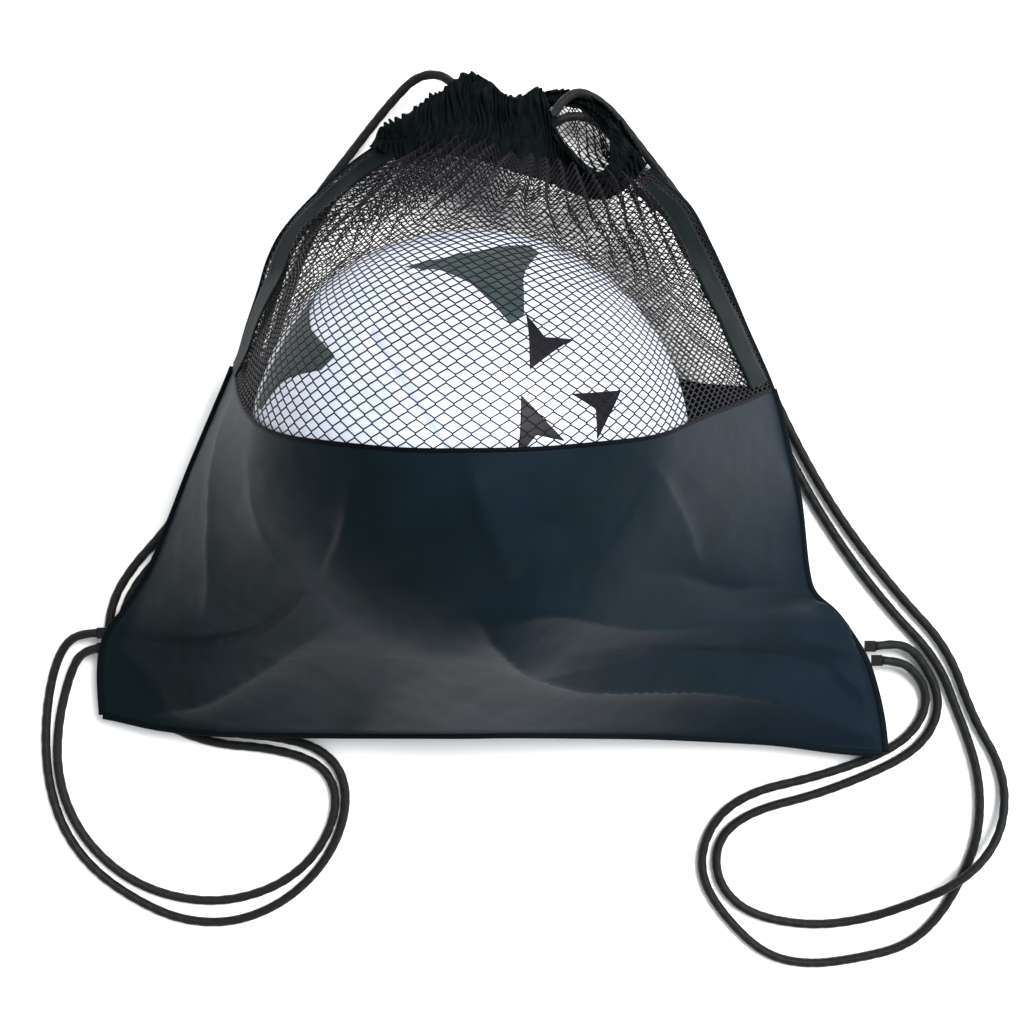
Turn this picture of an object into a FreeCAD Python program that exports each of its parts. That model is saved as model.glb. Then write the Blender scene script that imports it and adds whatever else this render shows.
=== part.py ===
import FreeCAD, Part
import math
import os
import Sketcher

# Mesh ball bag lying on its back, with one ball inside. Millimetres, +Z up, +Y towards the mouth.
# The origin is under the middle of the bag without its cords, on the surface that it lies on.

Vector = FreeCAD.Vector

# ---------------------------------------------------------------- driving sizes
SIZES = {
    # ball
    "ball_diameter": 220.0,
    "cover_wall": 3.5,
    "bladder_wall": 1.2,
    "bladder_gap": 0.2,
    "valve_diameter": 8.0,
    "valve_inset": 0.3,
    "valve_fit": 0.1,
    "valve_reach": 6.0,
    # where the ball sits in the bag
    "ball_shift_x": -11.0,
    "ball_shift_y": -12.0,
    # bag
    "bag_width": 436.0,
    "bag_length": 371.6,
    "panel_wall": 1.6,
    "ball_gap": 1.6,
    "ball_rest": 0.5,
    "edge_gap": 0.3,
    "foot_lift": 48.0,
    "foot_crown": 60.0,
    "foot_blend": 0.34,
    "seam_middle_front": 174.0,
    "seam_middle_back": 244.0,
    "seam_left": 224.0,
    "seam_right": 211.0,
    # tapes, bands and seams
    "tape_wall": 1.2,
    "tape_width": 8.0,
    "band_width": 15.0,
    "seam_width": 4.6,
    "seam_wall": 3.0,
    # drawn neck
    "casing_length": 28.5,
    "casing_wall": 2.2,
    "casing_radius": 26.0,
    "mouth_radius": 8.0,
    "casing_opening": 60.0,
    "neck_shift": 8.0,
    "neck_clearance": 1.0,
    # cords
    "cord_diameter": 5.0,
    "tack_width": 6.0,
    "tack_gap": 1.4,
    "tack_height": 4.0,
}

# Edge of the bag in plan: share of the half length, share of the half width, height of the edge in mm.
LEFT_EDGE = [(-0.890, -1.000, 13.0), (-0.650, -0.975, 13.5), (-0.430, -0.880, 16.0), (-0.215, -0.798, 21.0),
             (0.000, -0.725, 26.0), (0.205, -0.650, 30.0), (0.380, -0.602, 32.0), (0.560, -0.535, 32.0),
             (0.690, -0.430, 31.0), (0.780, -0.270, 29.0), (0.836, -0.055, 27.0)]
RIGHT_EDGE = [(-0.965, 1.000, 12.0), (-0.750, 0.960, 12.5), (-0.540, 0.870, 15.0), (-0.325, 0.795, 20.0),
              (-0.105, 0.750, 26.0), (0.130, 0.700, 30.0), (0.325, 0.630, 32.0), (0.535, 0.548, 32.0),
              (0.680, 0.455, 31.0), (0.780, 0.310, 29.0), (0.836, 0.128, 27.0)]
FOOT_MIDDLE = -0.905          # share of the half length where the bottom seam is in the middle

FLOOR_Z = 2.6                 # height of a cord's axis on the floor
# Cord routes, from the upper tack at the side seam to the neck, round the casing, and back to the lower tack.
RIGHT_ROUTE = [
    (213.5, -118.2, 13.2), (222.0, -117.2, 11.0), (230.5, -118.2, 8.0), (238.0, -122.8, 5.0),
    (244.3, -131.5, 3.2), (250.0, -142.0, FLOOR_Z), (251.6, -154.8, FLOOR_Z), (246.5, -168.5, FLOOR_Z),
    (234.5, -180.5, FLOOR_Z), (212.5, -191.5, FLOOR_Z), (181.0, -203.5, FLOOR_Z), (150.0, -211.0, FLOOR_Z),
    (131.0, -222.5, FLOOR_Z), (124.5, -238.5, FLOOR_Z), (129.0, -257.0, FLOOR_Z), (146.0, -271.5, FLOOR_Z),
    (179.0, -277.5, FLOOR_Z), (210.0, -273.5, 3.5), (235.0, -263.5, 9.0), (257.0, -253.0, 12.8),
    (274.0, -239.5, 12.8), (285.5, -223.0, 8.0), (289.5, -203.0, 3.2), (285.0, -183.5, FLOOR_Z),
    (274.0, -164.6, FLOOR_Z), (266.5, -147.0, FLOOR_Z), (260.5, -130.0, FLOOR_Z), (250.0, -112.5, FLOOR_Z),
    (233.5, -95.0, FLOOR_Z), (212.5, -69.5, FLOOR_Z), (192.0, -41.0, FLOOR_Z), (173.5, -9.0, FLOOR_Z),
    (157.5, 24.0, FLOOR_Z), (142.0, 58.0, FLOOR_Z), (129.5, 90.0, FLOOR_Z), (115.0, 120.0, 3.0),
    (97.0, 144.5, 4.5), (81.0, 163.5, 9.0), (64.5, 183.0, 16.0), (47.5, 191.5, 22.5), (37.0, 183.0, 28.0),
    (31.5, 172.5, 33.0), (22.5, 167.3, 39.0), (11.0, 167.0, 45.0), (-1.2, 167.0, 42.8), (-9.7, 167.0, 31.7),
    (-7.8, 167.0, 17.8), (3.3, 167.0, 9.3), (17.2, 167.0, 11.2), (28.0, 169.5, 18.8), (40.0, 177.0, 21.8),
    (55.0, 177.5, 15.5), (70.5, 164.0, 7.5), (89.5, 142.5, 3.2), (109.0, 118.0, FLOOR_Z),
    (123.2, 88.0, FLOOR_Z), (135.8, 56.0, FLOOR_Z), (151.0, 21.8, FLOOR_Z), (167.0, -12.3, FLOOR_Z),
    (185.2, -45.0, FLOOR_Z), (205.5, -75.0, FLOOR_Z), (227.0, -101.5, FLOOR_Z), (243.5, -118.5, FLOOR_Z),
    (254.0, -134.5, FLOOR_Z), (260.3, -151.5, FLOOR_Z), (267.0, -168.5, FLOOR_Z), (273.0, -187.0, FLOOR_Z),
    (275.5, -208.0, FLOOR_Z), (273.0, -230.0, FLOOR_Z), (264.5, -251.0, FLOOR_Z), (251.0, -273.5, FLOOR_Z),
    (233.0, -289.0, FLOOR_Z), (207.0, -295.5, FLOOR_Z), (178.0, -299.5, FLOOR_Z), (153.5, -294.0, FLOOR_Z),
    (133.0, -275.0, FLOOR_Z), (118.5, -254.0, FLOOR_Z), (117.0, -234.0, FLOOR_Z), (127.0, -214.0, FLOOR_Z),
    (147.0, -201.0, FLOOR_Z), (178.0, -194.0, FLOOR_Z), (208.5, -184.5, FLOOR_Z), (229.0, -174.5, FLOOR_Z),
    (239.8, -163.8, FLOOR_Z), (244.6, -152.2, FLOOR_Z), (243.2, -141.6, 3.4), (236.8, -132.8, 6.0),
    (228.5, -127.2, 9.2), (217.5, -126.3, 12.0)]
LEFT_ROUTE = [
    (-222.4, -111.0, 11.0), (-232.0, -111.4, 8.0), (-242.0, -117.0, 4.5), (-249.0, -131.5, FLOOR_Z),
    (-253.0, -153.0, FLOOR_Z), (-254.0, -178.0, FLOOR_Z), (-251.0, -202.0, FLOOR_Z), (-242.5, -225.5, FLOOR_Z),
    (-226.0, -246.5, FLOOR_Z), (-203.0, -262.5, FLOOR_Z), (-178.0, -274.0, FLOOR_Z), (-150.0, -276.0, FLOOR_Z),
    (-124.0, -267.0, FLOOR_Z), (-103.0, -250.5, FLOOR_Z), (-89.0, -230.0, FLOOR_Z), (-83.0, -207.5, FLOOR_Z),
    (-86.5, -189.0, FLOOR_Z), (-99.0, -176.5, FLOOR_Z), (-121.0, -170.5, FLOOR_Z), (-149.0, -168.5, FLOOR_Z),
    (-173.0, -161.5, FLOOR_Z), (-192.0, -147.5, FLOOR_Z), (-206.0, -128.0, FLOOR_Z), (-212.0, -106.5, FLOOR_Z),
    (-205.0, -87.0, FLOOR_Z), (-190.2, -69.0, FLOOR_Z), (-173.4, -50.0, FLOOR_Z), (-157.4, -26.0, FLOOR_Z),
    (-143.6, 3.5, FLOOR_Z), (-130.8, 36.0, FLOOR_Z), (-120.0, 68.0, FLOOR_Z), (-110.8, 97.0, FLOOR_Z),
    (-99.3, 121.8, FLOOR_Z), (-85.5, 143.5, 3.2), (-67.0, 161.0, 5.5), (-47.0, 172.5, 10.5),
    (-28.5, 178.0, 16.5), (-13.0, 178.3, 19.0), (-1.2, 178.0, 11.2), (12.7, 178.0, 9.3), (23.8, 178.0, 17.8),
    (25.7, 178.0, 31.7), (17.2, 178.0, 42.8), (3.3, 178.0, 44.7), (-7.8, 178.5, 36.2), (-17.5, 186.5, 33.0),
    (-28.0, 198.5, 28.5), (-43.0, 199.0, 21.5), (-57.0, 186.5, 14.5), (-70.0, 172.0, 9.5), (-83.5, 155.5, 6.0),
    (-98.0, 138.0, 4.0), (-111.0, 116.0, 3.0), (-121.8, 88.0, FLOOR_Z), (-132.0, 54.0, FLOOR_Z),
    (-143.5, 22.0, FLOOR_Z), (-156.8, -8.0, FLOOR_Z), (-172.0, -35.0, FLOOR_Z), (-189.5, -57.5, FLOOR_Z),
    (-204.5, -74.0, FLOOR_Z), (-215.5, -92.0, FLOOR_Z), (-219.0, -113.5, FLOOR_Z), (-214.5, -134.5, FLOOR_Z),
    (-201.5, -152.5, FLOOR_Z), (-182.0, -166.0, FLOOR_Z), (-157.0, -174.5, FLOOR_Z), (-128.5, -176.5, FLOOR_Z),
    (-104.5, -182.5, FLOOR_Z), (-92.5, -192.5, FLOOR_Z), (-88.8, -208.0, FLOOR_Z), (-94.5, -227.0, FLOOR_Z),
    (-107.5, -244.5, FLOOR_Z), (-128.0, -257.5, FLOOR_Z), (-155.0, -264.0, FLOOR_Z), (-183.0, -261.0, FLOOR_Z),
    (-208.0, -250.5, FLOOR_Z), (-228.5, -232.5, FLOOR_Z), (-241.5, -211.0, FLOOR_Z), (-247.5, -187.0, FLOOR_Z),
    (-246.5, -163.0, FLOOR_Z), (-242.5, -144.0, FLOOR_Z), (-238.0, -131.0, 4.0), (-232.0, -121.8, 8.0),
    (-222.4, -119.5, 11.0)]

N_ACROSS = 33                 # points across a panel
N_ALONG = 15                  # points along a panel
STRIP_ROWS = 4                # points across a tape, band or sewn edge
SPLINE_DEGREE = 3
TAPE_INSET = 0.97             # share of the half width that the panel seams reach
BAND_NEAR = 0.985             # share of the half width where a side band starts
BAND_ROW = 0.7                # row of the panel where a band's width is measured
BAND_PART = 0.1               # share of the half width over which it is measured
BAND_END = 0.93               # row of the panel where a side band ends
EDGE_START = 0.02             # row of the panel where a side seam starts
CORNER_SHARE = 0.45           # share of a cord's shorter run that a corner's arc takes


# ---------------------------------------------------------------- document helpers
def new_sheet(doc):
    sheet = doc.addObject("Spreadsheet::Sheet", "Sizes")
    for row, (alias, value) in enumerate(SIZES.items(), start=1):
        sheet.set(f"A{row}", alias)
        sheet.set(f"B{row}", str(value))
        sheet.setAlias(f"B{row}", alias)
    doc.recompute()
    return sheet


DOC = FreeCAD.newDocument("MeshBallBag")
SHEET = new_sheet(DOC)


def size(alias):
    return float(SHEET.get(alias))


def spread(count, first=0.0, last=1.0):
    return [first + (last - first) * i / (count - 1) for i in range(count)]


def mix(a, b, share):
    return a + (b - a) * share


# ---------------------------------------------------------------- shape of the filled bag
HALF_LENGTH = size("bag_length") / 2
HALF_WIDTH = size("bag_width") / 2
BALL_RADIUS = size("ball_diameter") / 2
SKIN_RADIUS = BALL_RADIUS + size("ball_gap")          # inside face of the bag where it lies on the ball
BALL_CENTRE = Vector(size("ball_shift_x"), size("ball_shift_y"),
                     size("panel_wall") + size("ball_rest") + BALL_RADIUS)
NECK_CENTRE_Z = size("casing_radius") + size("neck_clearance")
NECK_X = size("neck_shift")
NECK_Y = LEFT_EDGE[-1][0] * HALF_LENGTH               # where the panels meet the casing
NECK_RADIUS = (size("casing_radius") + size("mouth_radius")) / 2 + size("casing_wall")
CASING_Y = NECK_Y + size("panel_wall") + size("edge_gap")
SEAM_V = 0.5                                          # panel parameter of the nylon to net seam


def edge_at(edge, y):
    """Plan position and height of the bag's side edge at y, straight from point to point."""
    share = y / HALF_LENGTH
    for low, high in zip(edge, edge[1:]):
        if share <= high[0] or high is edge[-1]:
            part = (share - low[0]) / (high[0] - low[0])
            return mix(low[1], high[1], part) * HALF_WIDTH, mix(low[2], high[2], part)
    return None


def side_tip(edge, y):
    """Point of the bag's side edge at y."""
    x, z = edge_at(edge, y)
    return Vector(x, y, z)


def tangent_on_circle(y, z, centre_y, centre_z, radius, turn):
    """Point where a line from (y, z) touches a circle; turn is +1 or -1."""
    dy, dz = centre_y - y, centre_z - z
    distance = math.hypot(dy, dz)
    heading = math.atan2(dz, dy) + turn * math.asin(min(1.0, radius / distance))
    reach = math.sqrt(max(0.0, distance ** 2 - radius ** 2))
    return y + reach * math.cos(heading), z + reach * math.sin(heading)


FOOT_Y = FOOT_MIDDLE * HALF_LENGTH
NECK_TOP = NECK_CENTRE_Z + NECK_RADIUS
FOOT_TOUCH = tangent_on_circle(FOOT_Y, size("foot_lift"), BALL_CENTRE.y, BALL_CENTRE.z, SKIN_RADIUS, 1)
NECK_TOUCH = tangent_on_circle(NECK_Y, NECK_TOP, BALL_CENTRE.y, BALL_CENTRE.z, SKIN_RADIUS, -1)


def crown_at(y):
    """Top height, crown radius and crown x of the front panel's section at y."""
    if y < FOOT_TOUCH[0]:
        part = (y - FOOT_Y) / (FOOT_TOUCH[0] - FOOT_Y)
        radius = math.sqrt(SKIN_RADIUS ** 2 - (FOOT_TOUCH[0] - BALL_CENTRE.y) ** 2)
        top = mix(size("foot_lift"), FOOT_TOUCH[1], part)
        return top, mix(size("foot_crown"), radius, max(part, 0.0)), BALL_CENTRE.x
    if y > NECK_TOUCH[0]:
        part = (y - NECK_TOUCH[0]) / (NECK_Y - NECK_TOUCH[0])
        radius = math.sqrt(SKIN_RADIUS ** 2 - (NECK_TOUCH[0] - BALL_CENTRE.y) ** 2)
        top = mix(NECK_TOUCH[1], NECK_TOP, part)
        return top, mix(radius, NECK_RADIUS, part), mix(BALL_CENTRE.x, NECK_X, part ** 2)
    radius = math.sqrt(SKIN_RADIUS ** 2 - (y - BALL_CENTRE.y) ** 2)
    return BALL_CENTRE.z + radius, radius, BALL_CENTRE.x


def tent_section(y, share):
    """Point at a share of the length of the line, arc, line section that the front panel has at y."""
    left, right = side_tip(LEFT_EDGE, y), side_tip(RIGHT_EDGE, y)
    top, radius, middle = crown_at(y)
    centre_z = top - radius
    x1, z1 = tangent_on_circle(left.x, left.z, middle, centre_z, radius, 1)
    mirrored = tangent_on_circle(-right.x, right.z, -middle, centre_z, radius, 1)
    x2, z2 = -mirrored[0], mirrored[1]
    start = math.atan2(z1 - centre_z, x1 - middle)
    stop = math.atan2(z2 - centre_z, x2 - middle)
    lengths = [math.hypot(x1 - left.x, z1 - left.z), radius * (start - stop),
               math.hypot(right.x - x2, right.z - z2)]
    along = share * sum(lengths)
    if along <= lengths[0]:
        part = along / lengths[0] if lengths[0] > 0 else 0.0
        return Vector(mix(left.x, x1, part), y, mix(left.z, z1, part))
    if along <= lengths[0] + lengths[1]:
        angle = start - (along - lengths[0]) / radius
        return Vector(middle + radius * math.cos(angle), y, centre_z + radius * math.sin(angle))
    part = (along - lengths[0] - lengths[1]) / lengths[2] if lengths[2] > 0 else 1.0
    return Vector(mix(x2, right.x, part), y, mix(z2, right.z, part))


def side_foot(u):
    """Where the side edge that u is nearer to starts, along the bag."""
    return (LEFT_EDGE if u < 0 else RIGHT_EDGE)[0][0] * HALF_LENGTH


def row_y(u, v, seam_middle):
    """Where the panel's point (u, v) lies along the bag: rows run across it, curved as the seam is."""
    foot = mix(FOOT_Y, side_foot(u), u * u)
    seam_side = -HALF_LENGTH + (size("seam_left") if u < 0 else size("seam_right"))
    seam = mix(-HALF_LENGTH + seam_middle, seam_side, u * u)
    if v <= SEAM_V:
        return mix(foot, seam, v / SEAM_V)
    return mix(seam, NECK_Y, (v - SEAM_V) / (1 - SEAM_V))


def front_point(u, v):
    """Inside face of the front: u runs from -1 at the left edge to 1, v from 0 at the foot to 1."""
    return tent_section(row_y(u, v, size("seam_middle_front")), (u + 1) / 2)


def lower_section(y, u):
    """Inside face of the back at y: flat in the middle, rising to the edges, round at the neck."""
    left, right = side_tip(LEFT_EDGE, y), side_tip(RIGHT_EDGE, y)
    drawn = max(0.0, (y - NECK_TOUCH[0]) / (NECK_Y - NECK_TOUCH[0])) ** 2
    across = mix(u, math.sin(u * math.pi / 2), drawn)
    x = mix(left.x, right.x, (across + 1) / 2)
    edge_z = mix(left.z, right.z, (across + 1) / 2)
    floor_z = mix(size("panel_wall") - size("edge_gap"), NECK_CENTRE_Z - NECK_RADIUS, drawn)
    lens = (edge_z - floor_z) * abs(across) ** 3
    ring = (edge_z - floor_z) * (1 - math.sqrt(max(0.0, 1 - across * across)))
    return Vector(x, y, floor_z + mix(lens, ring, drawn))


def back_point(u, v):
    """Inside face of the back of the bag, which meets the front along the edges and the foot."""
    point = lower_section(row_y(u, v, size("seam_middle_back")), u)
    rise = max(0.0, 1 - v / size("foot_blend")) ** 2
    foot = front_point(u, 0.0) - lower_section(row_y(u, 0.0, size("seam_middle_back")), u)
    return point + foot * rise


def outward(point_at, u, v, side):
    """Unit normal of a panel, on the side away from the inside of the bag."""
    step = 0.01
    across = point_at(min(u + step, 1), v) - point_at(max(u - step, -1), v)
    along = point_at(u, min(v + step, 1)) - point_at(u, max(v - step, 0))
    normal = across.cross(along)
    normal.normalize()
    return normal * side


# ---------------------------------------------------------------- thin solids over the bag's surface
def grid(point_at, u_range, v_range, counts, offset, side):
    rows = []
    for v in spread(counts[1], *v_range):
        rows.append([point_at(u, v) + outward(point_at, u, v, side) * offset
                     for u in spread(counts[0], *u_range)])
    return rows


def smooth_sheet(rows):
    """Cubic surface with the points as its poles: it keeps the outer rows and cannot overshoot."""
    spans = [len(rows) - SPLINE_DEGREE, len(rows[0]) - SPLINE_DEGREE]
    knots = [[float(i) for i in range(count + 1)] for count in spans]
    ends = SPLINE_DEGREE + 1
    mults = [[ends] + [1] * (count - 1) + [ends] for count in spans]
    sheet = Part.BSplineSurface()
    sheet.buildFromPolesMultsKnots(rows, mults[0], mults[1], knots[0], knots[1], False, False,
                                   SPLINE_DEGREE, SPLINE_DEGREE)
    return sheet


def slab(outer_rows, inner_rows):
    """Closed solid between two grids of points, with ruled sides."""
    sheets = [smooth_sheet(rows) for rows in (outer_rows, inner_rows)]
    faces = [sheet.toShape() for sheet in sheets]
    u0, u1, v0, v1 = sheets[0].bounds()
    s0, s1, t0, t1 = sheets[1].bounds()
    for a, b in ((u0, s0), (u1, s1)):
        faces.append(Part.makeRuledSurface(sheets[0].uIso(a).toShape(), sheets[1].uIso(b).toShape()))
    for a, b in ((v0, t0), (v1, t1)):
        faces.append(Part.makeRuledSurface(sheets[0].vIso(a).toShape(), sheets[1].vIso(b).toShape()))
    shell = Part.makeShell(faces)
    shell.sewShape()
    solid = Part.Solid(shell)
    if solid.Volume < 0:
        solid.reverse()
    return solid


def add_shape(name, shape):
    """A sub-part whose free-form shape is set here."""
    feature = DOC.addObject("Part::Feature", name)
    feature.Label = name
    feature.Shape = shape
    feature.Placement = FreeCAD.Placement(Vector(0, 0, 0), FreeCAD.Rotation())
    return feature


def panel(point_at, side, v_range):
    """One fabric or net panel, with its wall outside the surface that point_at gives."""
    gap = size("edge_gap")
    counts = (N_ACROSS, N_ALONG)
    inner = grid(point_at, (-1, 1), v_range, counts, gap, side)
    outer = grid(point_at, (-1, 1), v_range, counts, size("panel_wall"), side)
    return slab(outer, inner)


def on_floor(shape):
    """Cut what would be under the floor, so that the panel rests on a true plane."""
    bounds = shape.BoundBox
    depth = 20.0
    under = Part.makeBox(2 * bounds.XLength, 2 * bounds.YLength, depth,
                         Vector(bounds.XMin - bounds.XLength / 2, bounds.YMin - bounds.YLength / 2, -depth))
    return shape.cut(under)


def row_share(point_at, width, u=0.0):
    """Change of v that covers a width along the bag at the seam."""
    step = 0.01
    run = (point_at(u, SEAM_V + step) - point_at(u, SEAM_V - step)).Length
    return width * 2 * step / run


def build_panels():
    seam_front = row_share(front_point, size("edge_gap") / 2)
    seam_back = row_share(back_point, size("edge_gap") / 2)
    end = 1.0 - row_share(front_point, size("edge_gap"))
    add_shape("front_nylon_panel", panel(front_point, 1, (0.0, SEAM_V - seam_front)))
    add_shape("front_net_panel", panel(front_point, 1, (SEAM_V + seam_front, end)))
    add_shape("back_nylon_panel", on_floor(panel(back_point, -1, (0.0, SEAM_V - seam_back))))
    add_shape("back_net_panel", on_floor(panel(back_point, -1, (SEAM_V + seam_back, end))))


def build_tapes():
    """The rolled seams between nylon and net: outside on the front, inside on the back."""
    wall = size("tape_wall")
    lift = size("panel_wall") + size("edge_gap")
    for name, point_at, side, under in (("front_panel_seam", front_point, 1, lift),
                                        ("back_panel_seam", back_point, -1, -wall)):
        half = row_share(point_at, size("tape_width") / 2)
        ranges = (-TAPE_INSET, TAPE_INSET), (SEAM_V - half, SEAM_V + half)
        outer = grid(point_at, *ranges, (N_ACROSS, STRIP_ROWS), under + wall, side)
        inner = grid(point_at, *ranges, (N_ACROSS, STRIP_ROWS), under, side)
        add_shape(name, slab(outer, inner))


def build_bands():
    """The solid bands down both edges of the net."""
    lift = size("panel_wall") + size("edge_gap")
    for name, sign in (("left_side_band", -1), ("right_side_band", 1)):
        inner_point = front_point(sign * (1 - BAND_PART), BAND_ROW)
        across = (front_point(sign, BAND_ROW) - inner_point).Length / BAND_PART
        far = BAND_NEAR - size("band_width") / across
        tape = row_share(front_point, size("tape_width") / 2)
        first = SEAM_V + tape + row_share(front_point, 2 * size("edge_gap"), sign)
        u_range = (-BAND_NEAR, -far) if sign < 0 else (far, BAND_NEAR)
        ranges = u_range, (first, BAND_END)
        outer = grid(front_point, *ranges, (STRIP_ROWS, N_ALONG), lift + size("tape_wall"), 1)
        inner = grid(front_point, *ranges, (STRIP_ROWS, N_ALONG), lift, 1)
        add_shape(name, slab(outer, inner))


def edge_strip(points, directions):
    """Flat sewn edge that follows points and stands out along directions."""
    gap = size("panel_wall") + size("edge_gap")
    half = Vector(0, 0, size("seam_wall") / 2)
    near = [p + d * gap for p, d in zip(points, directions)]
    far = [p + d * (gap + size("seam_width")) for p, d in zip(points, directions)]
    rows = [[mix(a, b, share) for a, b in zip(near, far)] for share in spread(STRIP_ROWS)]
    outer = [[q + half for q in row] for row in rows]
    inner = [[q - half for q in row] for row in rows]
    return slab(outer, inner)


def plan_normals(points, side):
    """Unit normals in plan along a chain of points."""
    normals = []
    for i in range(len(points)):
        run = points[min(i + 1, len(points) - 1)] - points[max(i - 1, 0)]
        normal = Vector(run.y, -run.x, 0) * side
        normal.normalize()
        normals.append(normal)
    return normals


def build_edge_seams():
    last = SEAM_V - row_share(front_point, size("tape_width"), 1)
    for name, sign in (("left_side_seam", -1), ("right_side_seam", 1)):
        points = [front_point(sign, v) for v in spread(N_ALONG, EDGE_START, last)]
        add_shape(name, edge_strip(points, plan_normals(points, sign)))
    points = [front_point(u, 0.0) for u in spread(N_ACROSS, -1, 1)]
    add_shape("bottom_seam", edge_strip(points, plan_normals(points, 1)))


# ---------------------------------------------------------------- casing, drawn to a ring
def plane_of(body, role):
    for feature in body.Origin.OriginFeatures:
        if feature.Role == role:
            return feature
    return None


def new_body(name):
    body = DOC.addObject("PartDesign::Body", name)
    body.Label = name
    return body


def new_sketch(body, name, role):
    sketch = body.newObject("Sketcher::SketchObject", name)
    sketch.AttachmentSupport = [(plane_of(body, role), "")]
    sketch.MapMode = "FlatFace"
    return sketch


def rectangle(sketch, low, high, aliases):
    """Rectangle on the sketch; aliases are the expressions of its left, right, bottom and top distances."""
    corners = [Vector(low[0], low[1], 0), Vector(high[0], low[1], 0),
               Vector(high[0], high[1], 0), Vector(low[0], high[1], 0)]
    first = sketch.GeometryCount
    for a, b in zip(corners, corners[1:] + corners[:1]):
        sketch.addGeometry(Part.LineSegment(a, b), False)
    for i in range(4):
        sketch.addConstraint(Sketcher.Constraint("Coincident", first + i, 2, first + (i + 1) % 4, 1))
    for i, kind in enumerate(("Horizontal", "Vertical", "Horizontal", "Vertical")):
        sketch.addConstraint(Sketcher.Constraint(kind, first + i))
    places = (("DistanceX", 0, 1, low[0]), ("DistanceX", 1, 1, high[0]),
              ("DistanceY", 0, 1, low[1]), ("DistanceY", 2, 1, high[1]))
    for (kind, line, end, value), expression in zip(places, aliases):
        index = sketch.addConstraint(Sketcher.Constraint(kind, first + line, end, value))
        if expression:
            sketch.setExpression(f"Constraints[{index}]", expression)


def build_casing():
    """Hollow half rings round the mouth; the cords run in them and leave at the two sides."""
    radius, mouth, wall = size("casing_radius"), size("mouth_radius"), size("casing_wall")
    length = size("casing_length")
    inner_wall = "Sizes.mouth_radius + Sizes.casing_wall"
    for name, turn in (("front_casing", 0.0), ("back_casing", 180.0)):
        body = new_body(name)
        sketch = new_sketch(body, name + "_section", "XY_Plane")
        rectangle(sketch, (mouth, 0.0), (radius, length),
                  ("Sizes.mouth_radius", "Sizes.casing_radius", None, "Sizes.casing_length"))
        rectangle(sketch, (mouth + wall, wall), (radius - wall, length - wall),
                  (inner_wall, "Sizes.casing_radius - Sizes.casing_wall",
                   "Sizes.casing_wall", "Sizes.casing_length - Sizes.casing_wall"))
        DOC.recompute()
        ring = body.newObject("PartDesign::Revolution", name + "_ring")
        ring.Profile = sketch
        ring.ReferenceAxis = (sketch, ["V_Axis"])
        ring.Angle = 180.0 - size("casing_opening")
        ring.setExpression("Angle", "180 - Sizes.casing_opening")
        ring.Midplane = True
        DOC.recompute()
        upright = FreeCAD.Rotation(Vector(0, 1, 0), -90.0 + turn)
        body.Placement = FreeCAD.Placement(Vector(NECK_X, CASING_Y, NECK_CENTRE_Z), upright)


# ---------------------------------------------------------------- ball
def spherical_shell(body, outer, wall, expressions):
    """Half ring between two arcs, turned about the ball's X axis; open at the poles for the valve."""
    sketch = new_sketch(body, body.Label + "_section", "XY_Plane")
    bore = size("valve_diameter") / 2 + size("valve_fit")
    inner = outer - wall
    ends = {}
    for key, radius in (("outer", outer), ("inner", inner)):
        ends[key] = math.asin(bore / radius)
    start, stop = 0.0, math.pi - ends["outer"]
    outer_arc = Part.ArcOfCircle(Part.Circle(Vector(0, 0, 0), Vector(0, 0, 1), outer), start, stop)
    inner_arc = Part.ArcOfCircle(Part.Circle(Vector(0, 0, 0), Vector(0, 0, 1), inner), start,
                                 math.pi - ends["inner"])
    sketch.addGeometry(outer_arc, False)
    sketch.addGeometry(inner_arc, False)
    sketch.addGeometry(Part.LineSegment(Vector(inner, 0, 0), Vector(outer, 0, 0)), False)
    sketch.addGeometry(Part.LineSegment(Vector(-outer * math.cos(ends["outer"]), bore, 0),
                                        Vector(-inner * math.cos(ends["inner"]), bore, 0)), False)
    for first, end, second, other in ((0, 1, 2, 2), (1, 1, 2, 1), (0, 2, 3, 1), (1, 2, 3, 2)):
        sketch.addConstraint(Sketcher.Constraint("Coincident", first, end, second, other))
    sketch.addConstraint(Sketcher.Constraint("Coincident", 0, 3, -1, 1))
    sketch.addConstraint(Sketcher.Constraint("Coincident", 1, 3, -1, 1))
    sketch.addConstraint(Sketcher.Constraint("Horizontal", 2))
    sketch.addConstraint(Sketcher.Constraint("PointOnObject", 2, 1, -1))
    sketch.addConstraint(Sketcher.Constraint("Horizontal", 3))
    for curve, radius, expression in ((0, outer, expressions[0]), (1, inner, expressions[1])):
        index = sketch.addConstraint(Sketcher.Constraint("Radius", curve, radius))
        sketch.setExpression(f"Constraints[{index}]", expression)
    index = sketch.addConstraint(Sketcher.Constraint("DistanceY", 3, 1, bore))
    sketch.setExpression(f"Constraints[{index}]", "Sizes.valve_diameter / 2 + Sizes.valve_fit")
    DOC.recompute()
    shell = body.newObject("PartDesign::Revolution", body.Label + "_shell")
    shell.Profile = sketch
    shell.ReferenceAxis = (sketch, ["H_Axis"])
    shell.Angle = 360.0
    DOC.recompute()
    body.Placement = FreeCAD.Placement(BALL_CENTRE, FreeCAD.Rotation())


def build_ball():
    cover_inner = "Sizes.ball_diameter / 2 - Sizes.cover_wall"
    spherical_shell(new_body("ball_cover"), BALL_RADIUS, size("cover_wall"),
                    ("Sizes.ball_diameter / 2", cover_inner))
    bladder_outer = BALL_RADIUS - size("cover_wall") - size("bladder_gap")
    spherical_shell(new_body("ball_bladder"), bladder_outer, size("bladder_wall"),
                    (cover_inner + " - Sizes.bladder_gap",
                     cover_inner + " - Sizes.bladder_gap - Sizes.bladder_wall"))
    build_valve()


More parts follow.
